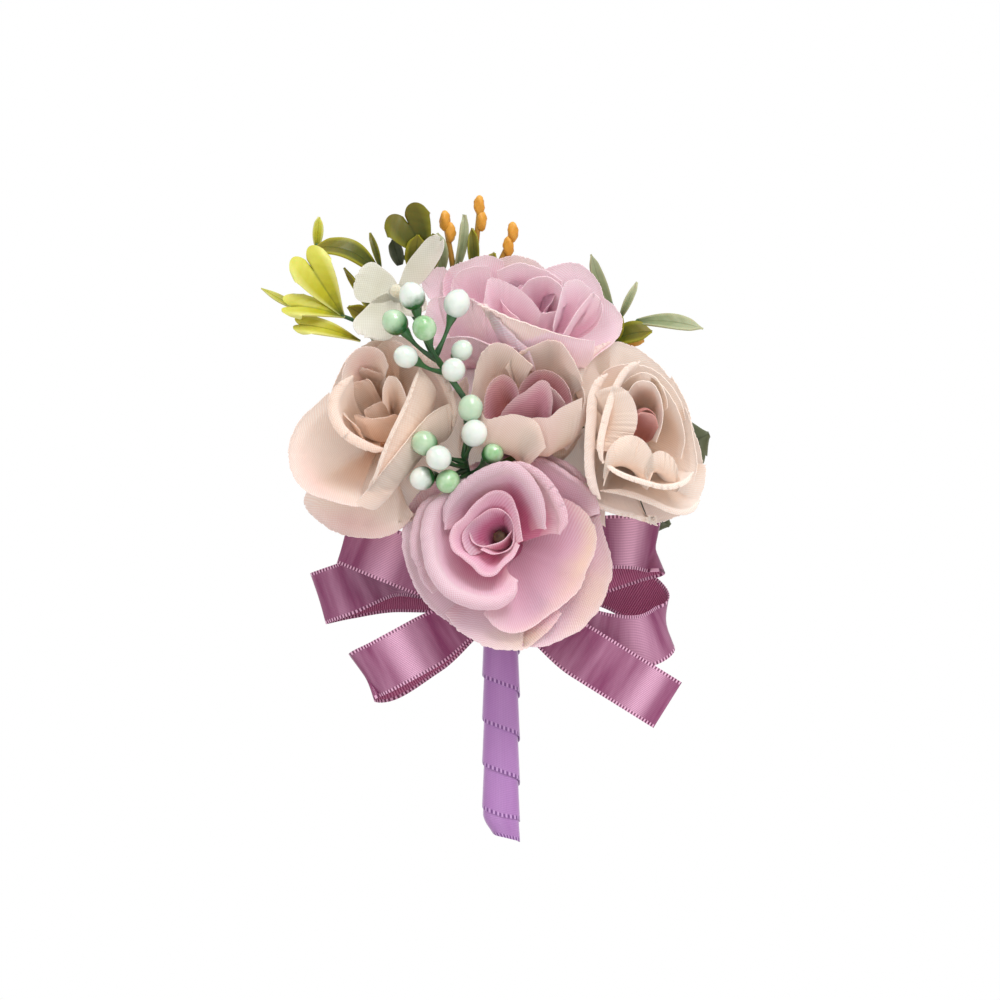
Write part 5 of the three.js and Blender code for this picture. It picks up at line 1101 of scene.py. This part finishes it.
# Half the width of a leaf along its length, as a share of half its greatest width
LEAF_OUTLINES = dict(
    narrow=lambda v: 0.25 + 0.75 * np.sin(np.pi * (0.02 + 0.94 * v)) ** 0.8,
    oval=oval,
    heart=lambda v: 0.1 + 0.9 * np.sin(np.pi / 2 * np.minimum(1, v * 1.15)) ** 1.2,
    serrated=lambda v: oval(v) * (0.86 + 0.2 * (1 - (v * 8 % 1))),
)

SPRIGS = [
    dict(name="sprig_left", looks=[lime, olive], slot=(2, 150), at=(-22.0, -2.5, 66.0),
         heading=(-0.8, 0, 0.6), rise=20, reach=10,
         twigs=[((-22.0, -2.5, 66.0), (-30.0, -4.0, 69.0)), ((-22.0, -2.5, 66.0), (-24.3, -3.0, 64.4)),
             ((-22.0, -2.5, 66.0), (-24.4, -2.0, 79.0)), ((-24.4, -2.0, 78.6), (-34.8, -1.2, 82.4))],
         leaves=[
             leaf((-29.6, -4.0, 68.9), (-37.4, -6.0, 80.8), 7.8, outline="heart", notch=0.24, arch=0.06,
                  tone=0.05),
             leaf((-29.2, -4.0, 68.7), (-45.0, -3.0, 74.1), 1.6, facing=(0, -0.4, 1), arch=-0.08),
             leaf((-29.6, -4.0, 68.7), (-41.0, -6.0, 70.8), 5.4, outline="heart", notch=0.3,
                  facing=(0, -0.8, 0.5), arch=0.08, tone=0.1),
             leaf((-26.4, -3.4, 64.2), (-38.8, -5.0, 67.4), 4.0, outline="heart", notch=0.16,
                  facing=(0, -0.85, 0.4), arch=0.1, tone=0.05),
             leaf((-23.8, -2.0, 77.6), (-35.2, -3.0, 81.6), 5.4, outline="oval", facing=(0.1, -0.75, 0.66),
                  arch=0.2, look=1, tone=0.2),
             leaf((-34.6, -1.2, 81.8), (-34.2, -1.0, 87.6), 2.0, arch=0.05),
             leaf((-22.6, -2.0, 78.0), (-24.6, -1.0, 84.6), 1.3, look=1, tone=0.9),
             leaf((-22.2, -2.5, 66.6), (-29.5, -1.5, 78.0), 1.4, look=1),
             leaf((-22.0, -3.0, 66.0), (-28.6, -6.6, 70.5), 3.4, outline="oval", facing=(0.3, -1, 0.2),
                  look=1),
         ]),
    dict(name="sprig_top", looks=[olive, dark_green, grey_green], slot=(1, 120), at=(-14.0, 1.0, 78.0),
         heading=(-0.1, 0, 1), rise=30, reach=8,
         twigs=[((-14.0, 1.0, 78.0), (-14.6, 0, 82.0)), ((-14.0, 1.0, 78.0), (-20.2, 0, 81.0)),
             ((-14.0, 1.0, 78.0), (-11.0, 1.0, 77.8)), ((-14.0, 1.0, 78.0), (-17.0, 0.6, 79.0))],
         leaves=[
             leaf((-13.6, 0, 79.8), (-19.0, -2.0, 89.0), 9.0, outline="heart", notch=0.28, arch=0.06,
                  tone=0.9),
             leaf((-16.4, 0.5, 77.6), (-15.6, -2.4, 84.2), 4.0, outline="oval", tone=0.5),
             leaf((-13.6, 0.5, 77.6), (-12.6, -1.4, 84.4), 3.6, outline="oval", tone=0.8),
             leaf((-11.2, 1.0, 77.6), (-12.0, 0, 84.6), 2.8, outline="oval", facing=(0.3, -1, 0), look=2),
             leaf((-19.0, 0, 78.6), (-20.4, 0, 83.4), 2.6, outline="oval", look=1),
         ]),
    dict(name="sprig_tips", looks=[orange, olive, grey_green], slot=(2, 90), at=(-4.0, 2.5, 74.0),
         heading=(-0.05, 0, 1), rise=20, reach=30,
         twigs=[((-4.0, 2.5, 74.0), (-9.2, 2.0, 78.0)), ((-8.9, 2.0, 77.6), (-10.4, 1.5, 86.0)),
             ((-4.0, 2.5, 74.0), (-5.0, 2.5, 80.0)), ((-5.0, 2.5, 79.6), (-4.1, 2.0, 89.0)),
             ((-4.0, 2.5, 74.0), (-0.4, 2.5, 78.6)), ((-0.6, 2.5, 78.2), (2.0, 2.0, 84.0))],
         knobs=[(-10.6, 1.4, 87.0), (-9.6, 1.4, 84.8), (-4.1, 2.0, 89.9), (-3.7, 2.0, 87.0),
             (2.2, 2.0, 84.9), (1.4, 2.0, 82.2)],
         leaves=[
             leaf((-8.6, 2.0, 77.4), (-6.9, 2.0, 88.2), 2.0, facing=(0.5, -1, 0), look=2),
             leaf((-5.0, 2.5, 77.6), (-5.4, 1.0, 85.6), 2.2, look=1),
             leaf((-4.0, 2.5, 75.0), (-1.2, 1.5, 81.0), 3.0, outline="oval", look=1),
         ]),
    dict(name="sprig_right", looks=[olive, grey_green, orange], slot=(1, 0), at=(20.5, 2.0, 64.0),
         heading=(0.75, 0, 0.65), rise=24, reach=8,
         twigs=[((20.5, 2.0, 64.0), (22.8, 1.0, 69.4)), ((20.5, 2.0, 64.0), (26.0, 1.0, 68.3)),
             ((22.2, 1.2, 68.0), (20.6, 1.0, 71.6))],
         leaves=[
             leaf((20.7, 1.0, 70.8), (16.9, 0, 80.6), 2.6, facing=(0.3, -1, 0.2), arch=-0.1, look=1),
             leaf((22.4, 1.0, 68.6), (25.6, 0, 75.4), 1.5, look=1),
             leaf((25.4, 1.0, 67.9), (38.0, 0, 66.6), 3.2, facing=(0, -0.8, 0.6), arch=0.08, look=1),
             leaf((20.2, 1.5, 63.6), (28.4, -1.0, 66.0), 5.4, outline="oval", facing=(0, -0.7, 0.7)),
             leaf((20.4, 1.5, 63.8), (21.4, -1.0, 70.4), 4.4, outline="oval"),
             leaf((20.2, 2.0, 63.8), (27.0, 2.5, 64.4), 2.0, outline="oval", look=2),
         ]),
    dict(name="rose_leaf_spray", looks=[dark_green], slot=(2, 30), at=(20.0, 2.5, 36.0),
         heading=(0.9, 0.1, 0.35), rise=6, reach=8,
         twigs=[((20.0, 2.5, 36.0), (26.0, 2.5, 40.8)), ((20.0, 2.5, 36.0), (22.2, 2.0, 34.0))],
         leaves=[
             leaf((25.0, 2.5, 40.0), (39.2, 0, 46.8), 11.0, outline="serrated", arch=0.06),
             leaf((21.4, 2.2, 34.8), (31.8, 0, 29.6), 6.4, outline="serrated", arch=0.06),
             leaf((19.8, 2.5, 36.0), (14.4, -1.0, 50.0), 9.0, outline="serrated", arch=0.06),
         ]),
]


def leaf_into(shape, plan, number):
    """Adds a leaf to a sprig's shape."""
    rng = np.random.default_rng(LEAF_SEED + number)
    base, tip = np.array(plan["base"]), np.array(plan["tip"])
    length = np.linalg.norm(tip - base)
    along = unit(tip - base)
    face = np.array(plan["facing"], float)
    face = unit(face - along * along.dot(face))
    side = np.cross(along, face)
    u, v = grid(32, 72 if plan["outline"] == "serrated" else 36)
    half = plan["width"] / 2 * LEAF_OUTLINES[plan["outline"]](v)
    if plan["outline"] != "heart":
        half = half * np.sqrt(np.clip(1 - smooth((v - 0.8) / 0.2) * 0.97, 0.002, 1))
    lobes = np.sqrt(np.clip(1 - (2 * np.abs(u) - 1) ** 2, 0, 1))
    reach = length * v * (1 - plan["notch"] * (1 - lobes) * smooth(2.5 * v - 1.5))
    lift = plan["arch"] * length * np.sin(np.pi * v) + LEAF_FOLD * half * np.abs(u)
    lift = lift + LEAF_WAVE * length * np.sin(5 * v + rng.uniform(0, 6)) * v * u
    points = base + reach[..., None] * along + (u * half)[..., None] * side + lift[..., None] * face
    tone = rng.uniform(0, 0.6) if plan["tone"] is None else plan["tone"]
    marks = together(v, np.abs(u), tone, 0)
    looks = (plan["look"], plan["look"])
    shape.slab(points, LEAF_THICKNESS, together(np.abs(u * half), reach), marks, marks, looks)


def sprig_piece(plan, number):
    """A sprig of leaves: its stalk, its twigs, its knobs if it has any, and its leaves."""
    shape = Shape()
    at, heading = np.array(plan["at"]), unit(plan["heading"])
    path = wire_path(plan["slot"], at + heading * SINK, heading, plan["rise"], plan["reach"], SINK * 2)
    shape.tube(rings_along(path, WIRE / 2, sides=10), slot=len(plan["looks"]))
    stout = "knobs" in plan
    for start, end in plan["twigs"]:
        share = np.linspace(0, 1, TWIG_STEPS)[:, None]
        line = np.array(start) * (1 - share) + np.array(end) * share
        marks = together(share * np.ones(10), 0, 0.2, 0)
        slot = 0 if stout else len(plan["looks"])
        thick = np.linspace(*(STOUT_TWIG if stout else TWIG), TWIG_STEPS)
        shape.tube(rings_along(line, thick, sides=10), marks=marks, slot=slot)
    for k, centre in enumerate(plan.get("knobs", [])):
        turn = np.linspace(-np.pi / 2, np.pi / 2, KNOB_STEPS)
        around = np.arange(KNOB_FACETS) / KNOB_FACETS * TURN
        rings = lathe([(max(0.02, math.cos(a)), KNOB_HALF * math.sin(a)) for a in turn], KNOB_FACETS)
        lumps = 1 + 0.13 * np.sin(3 * around + 2 * k + 3 * turn[:, None])
        lumps = lumps + 0.08 * np.sin(5 * around - 7 * turn[:, None] + k)
        rings = rings * together(lumps, lumps, 1) + np.array(centre)
        height = 0.4 + 0.6 * smooth(np.sin(turn) - 0.3)
        marks = together(height[:, None] * np.ones(KNOB_FACETS), 0.3, 0, 0)
        shape.tube(rings, marks=marks)
    for k, each in enumerate(plan["leaves"]):
        leaf_into(shape, each, LEAF_STEP * number + k)
    make(f"{plan['name']}_leaves", shape, [*plan["looks"], wire_green], stands_for=[plan["name"]])


for number, plan in enumerate(SPRIGS):
    sprig_piece(plan, number)

# The wrapped stem

WRAP_TOP, WRAP_END, WRAP_ROWS, WRAP_COLUMNS = -1.6, 4.2, 72, 15  # first and last turn, rows to a turn
WRAP_SEAM, WRAP_LOOSE = -0.2, 0.3  # where a turn's lower edge crosses the front, and its slack on the tape
CLOSER_FROM, CLOSER = 3, 0.5  # from this turn on the ribbon climbs by this share of its pitch
TAPER_START, TAPER_LENGTH, TIP_SHARE, TIP_SHIFT = -24.5, 6, 0.42, 1.5
SQUARENESS = 3
TAPE_TURN, TAPE_WAVE, TAPE_TURNS = 1.05, 0.04, 40


def wrap_points(turns, across):
    """Places on the wrap, which winds down the stem with a squarish section and tapers at its end."""
    climb = turns - CLOSER * np.maximum(0, turns - CLOSER_FROM)
    height = WRAP_SEAM + WRAP_SPAN / 2 - WRAP_PITCH * climb + across * WRAP_SPAN
    taper = smooth((TAPER_START - height) / TAPER_LENGTH)
    core = WRAP_IN * (1 - (1 - TIP_SHARE) * taper)
    reach = core + WRAP_LOOSE + WRAP_SLANT * (0.5 - across) + WRAP_CLOTH / 2
    angle = TURN * turns - math.pi / 2
    c, s = np.cos(angle), np.sin(angle)
    square = (np.abs(c) ** SQUARENESS + np.abs(s) ** SQUARENESS) ** (-1 / SQUARENESS)
    return together(reach * square * c + TIP_SHIFT * taper, reach * square * s, height)


def wrap_piece():
    shape = Shape()
    rows, columns = np.arange(WRAP_TOP, WRAP_END, 1 / WRAP_ROWS), np.linspace(-0.5, 0.5, WRAP_COLUMNS)
    turns, across = np.meshgrid(rows, columns, indexing="ij")
    points = wrap_points(turns, across)
    uv = together(across * RIBBON, turns * math.hypot(TURN * WRAP_IN, WRAP_PITCH))
    rim = np.abs(across) * 2
    shade = smooth((across - 0.2) / 0.3) * 0.5
    front, back = together(1, rim, shade, 0), together(0, rim, shade, 0)
    shape.slab(points, WRAP_CLOTH, uv, back, front)
    made = make("stem_wrap_ribbon", shape, [violet], stands_for=["stem_wrap"])


turns = range(1, TAPE_TURNS)
ridges = [(TAPE_OUT + TAPE_WAVE * math.sin(k * 2.1), TAPE_LOW + TAPE_TURN * k) for k in turns]
inner = TAPE_OUT - TAPE_CLOTH
profile = [(inner, TAPE_LOW), (TAPE_OUT, TAPE_LOW), *ridges, (TAPE_OUT, TAPE_TOP), (inner, TAPE_TOP)]
tape = Shape()
tape.tube(lathe(profile, facets=40))
make("stem_tape_wound", tape, [tape_green], stands_for=["stem_tape"])
wrap_piece()

# The bow

BOW_HEIGHT, LAYER, BAND, BOW_FLAT, BOW_PINCH, BOW_CLOTH = 15.6, 0.8, 0.5, 3, 0.6, 0.2
STATION_STEPS, LOOP_STATIONS = 14, 7  # steps between two stations, and stations to a loop
BOW_BACK = WRAP_OUT + CLEARANCE + BAND + CLEARANCE
# Each loop: its end, across and up; how far forward it stands and half its fold, as shares of the ribbon's
# width; how far its back and its forth strip are lifted, near the knot and near the end; its tilt in
# degrees; and where its painted highlight lies and how strong it is
LOOPS = [
    dict(end=(-34.2, 15.9), front=0.05, fold=0.3, back=(2.5, 1.0), forth=(5.6, 1.8),
         tilt=18, painted_shine=(1.0, 0.35)),
    dict(end=(31.0, 11.0), front=0.15, fold=0.44, back=(6.6, 4.0), forth=(-4.2, -3.6),
         tilt=17, painted_shine=(0.1, 0.7)),
    dict(end=(-29.2, 27.4), front=0.7, fold=0.19, back=(0, 0), forth=(0, 0), tilt=8, painted_shine=(0.5, 0.8)),
    dict(end=(28.8, 25.2), front=0.7, fold=0.19, back=(0, 0), forth=(4.8, 2.6), tilt=-10, painted_shine=(0.1, 1)),
    dict(end=(-25.4, 1.7), front=0.96, fold=0.3, back=(-1.4, -2.0), forth=(0, 0), tilt=5, painted_shine=(0.55, 1)),
]
TAIL = dict(end=(31.0, -3.8), front=0.95, painted_shine=(-1.8, 0.8))


def tilted(side, degrees):
    """A direction in the bow's plane, turned by an angle."""
    c, s = math.cos(math.radians(degrees)), math.sin(math.radians(degrees))
    return np.array([c * side[0] - s * side[2], 0, s * side[0] + c * side[2]])


def bow_stations():
    """Places along the ribbon: the point, the way across it, its share of the width, and its outer face."""
    found = []
    centre = np.array([0, 0, BOW_HEIGHT])

    def heading(end):
        return unit(np.array([end[0], 0, end[1]]) - centre)

    def side_of(out):
        return np.array([-out[2], 0, out[0]]) * np.sign(out[0])

    def crossing(side, layer, out, face):
        point = centre + out * side * np.sign(out[0]) * BOW_FLAT
        point[1] = -(BOW_BACK + WRAP_CLOTH / 2 + layer * LAYER)
        found.append((point, side_of(out), BOW_PINCH, face))

    first = heading(LOOPS[0]["end"])
    crossing(-np.sign(first[0]), 0, first, 0)
    for layer, loop in enumerate(LOOPS):
        end = loop["end"]
        out = heading(end)
        across = side_of(out)
        length = np.linalg.norm(np.array([end[0], 0, end[1]]) - centre)
        front, fold = loop["front"] * RIBBON, loop["fold"] * RIBBON
        face = layer % 2
        crossing(np.sign(out[0]), layer, out, face)
        for share, depth, lift, turn in (
            (0.55, (front - fold) * 0.8 + BOW_BACK * 0.2, loop["back"][0], 0.3),
            (0.86, front - fold, loop["back"][1], 0.6),
            (1, front, 0, 1),
            (0.86, front + fold, loop["forth"][1], 0.6),
            (0.55, front + fold * 1.1, loop["forth"][0], 0.3),
        ):
            point = centre + out * length * share + (0, 0, lift)
            point[1] = -depth
            found.append((point, tilted(across, loop["tilt"] * turn), 1, face))
        crossing(np.sign(out[0]), layer + 1, out, face)
    end = TAIL["end"]
    out = heading(end)
    crossing(1, len(LOOPS), out, 0)
    length = np.linalg.norm(np.array([end[0], 0, end[1]]) - centre)
    for share, lifted in ((0.5, 0.15), (0.82, 0.05), (1, 0)):
        point = centre + out * length * share
        point[1] = -(TAIL["front"] + lifted) * RIBBON
        found.append((point, side_of(out), 1, 0))
    return found


def bow_piece():
    found = bow_stations()
    v = np.linspace(0, 1, (len(found) - 1) * STATION_STEPS + 1)
    line = through([f[0] for f in found], v)
    sides = through([f[1] for f in found], v)
    place = v * (len(found) - 1)
    low = np.minimum(place.astype(int), len(found) - 2)
    shares = np.array([f[2] for f in found])
    share = shares[low] + (shares[low + 1] - shares[low]) * smooth(place - low)
    tangent = unit(np.gradient(line, axis=0))
    across = unit(sides - tangent * np.sum(sides * tangent, axis=1, keepdims=True))
    u = np.linspace(-1, 1, 15)
    points = line[:, None] + across[:, None] * (u[None, :, None] * share[:, None, None] * RIBBON / 2)
    run = run_along(line)
    uv = together(u[None] * RIBBON / 2, run[:, None])
    nearest = np.minimum(np.round(place).astype(int), len(found) - 1)
    faces = np.array([f[3] for f in found])[nearest].astype(float)
    shade = smooth((0.95 - share) / 0.3)
    # Painted highlight: a bright band on each loop and on the tail, where the satin would catch the light.
    painted_shine = np.zeros_like(place)
    for number, loop in enumerate([*LOOPS, TAIL]):
        after, strength = loop["painted_shine"]
        painted_shine += strength * np.exp(-(((place - 5 - LOOP_STATIONS * number - after) / 0.3) ** 2))
    top = together(faces[:, None], np.abs(u)[None], shade[:, None], painted_shine[:, None])
    under = top.copy()
    under[..., 0] = 1 - under[..., 0]
    shape = Shape()
    shape.slab(points, BOW_CLOTH, uv, top, under)
    made = make("bow_satin", shape, [mauve], stands_for=["bow_ribbon"])


bow_piece()
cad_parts["bow_band"].data.materials[0] = band_mauve
for name in ("brooch_bar", "brooch_rivet", "brooch_pin", "brooch_lock"):
    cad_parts[name].data.materials[0] = nickel
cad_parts["brooch_glue_pad"].data.materials[0] = glue

# Room, light and camera


def backdrop(tree, seen_by, plain, white, output):
    """White for the camera and the rays in seen_by, and the plain shader for all others."""
    tree.nodes.clear()
    rays = tree.nodes.new("ShaderNodeLightPath").outputs
    white_for = rays["Is Camera Ray"]
    for ray in seen_by:
        most = tree.nodes.new("ShaderNodeMath")
        most.operation = "MAXIMUM"
        tree.links.new(white_for, most.inputs[0])
        tree.links.new(rays[ray], most.inputs[1])
        white_for = most.outputs[0]
    mixed = tree.nodes.new("ShaderNodeMixShader")
    tree.links.new(white_for, mixed.inputs[0])
    for slot, (kind, sockets) in enumerate((plain, white), 1):
        shader = tree.nodes.new(kind)
        for name, value in sockets.items():
            shader.inputs[name].default_value = value
        tree.links.new(shader.outputs[0], mixed.inputs[slot])
    tree.links.new(mixed.outputs[0], tree.nodes.new(output).inputs[0])


FLOOR_HALF, FLOOR_GAP = 3, 0.0005
WHITE, FLOOR_GREY, SKY, SKY_STRENGTH = (1, 1, 1, 1), (0.85, 0.85, 0.85, 1), (1.0, 0.995, 0.985, 1), 0.76
corners = [(x * FLOOR_HALF, y * FLOOR_HALF, 0) for x, y in ((-1, -1), (1, -1), (1, 1), (-1, 1))]
mesh = bpy.data.meshes.new("floor")
mesh.from_pydata(corners, [], [(0, 1, 2, 3)])
floor = bpy.data.objects.new("floor", mesh)
floor.location = (0, 0, cad_box[0][2] - FLOOR_GAP)
bpy.context.collection.objects.link(floor)
material = bpy.data.materials.new("floor")
material.use_nodes = True
backdrop(
    material.node_tree, ["Is Glossy Ray", "Is Transmission Ray"],
    ("ShaderNodeBsdfDiffuse", {"Color": FLOOR_GREY}), ("ShaderNodeEmission", {"Color": WHITE}),
    "ShaderNodeOutputMaterial",
)
mesh.materials.append(material)

world = bpy.data.worlds.new("studio")
world.use_nodes = True
bpy.context.scene.world = world
backdrop(
    world.node_tree, ["Is Transmission Ray"],
    ("ShaderNodeBackground", {"Color": SKY, "Strength": SKY_STRENGTH}),
    ("ShaderNodeBackground", {"Color": WHITE, "Strength": 1.0}), "ShaderNodeOutputWorld",
)


def softbox(name, at, aim, size, power):
    lamp = bpy.data.lights.new(name, "AREA")
    lamp.shape, lamp.size, lamp.energy = "DISK", size, power
    made = bpy.data.objects.new(name, lamp)
    made.location = at
    made.rotation_euler = (Vector(aim) - Vector(at)).to_track_quat("-Z", "Y").to_euler()
    bpy.context.collection.objects.link(made)


middle = (0, -0.015, 0.04)
softbox("key", at=(0.3, -0.85, 0.85), aim=middle, size=0.5, power=5.6)
softbox("top", at=(0.15, -0.45, 1.0), aim=middle, size=0.5, power=3.4)

view_distance, sensor = (PHOTO_DISTANCE - PHOTO_PLANE) * MM, 0.036
view_width = PHOTO_WIDTH / PHOTO_SCALE * MM
camera = bpy.data.objects.new("camera", bpy.data.cameras.new("camera"))
camera.data.sensor_width = sensor / MM
camera.data.lens = sensor * view_distance / view_width / MM
camera.data.clip_start, camera.data.clip_end = 0.01, 20
camera.location = (PHOTO_X * MM, -PHOTO_DISTANCE * MM, PHOTO_Z * MM)
camera.rotation_euler = (math.pi / 2, 0, 0)
bpy.context.collection.objects.link(camera)
bpy.context.scene.camera = camera
bpy.context.scene.view_settings.view_transform = "Standard"
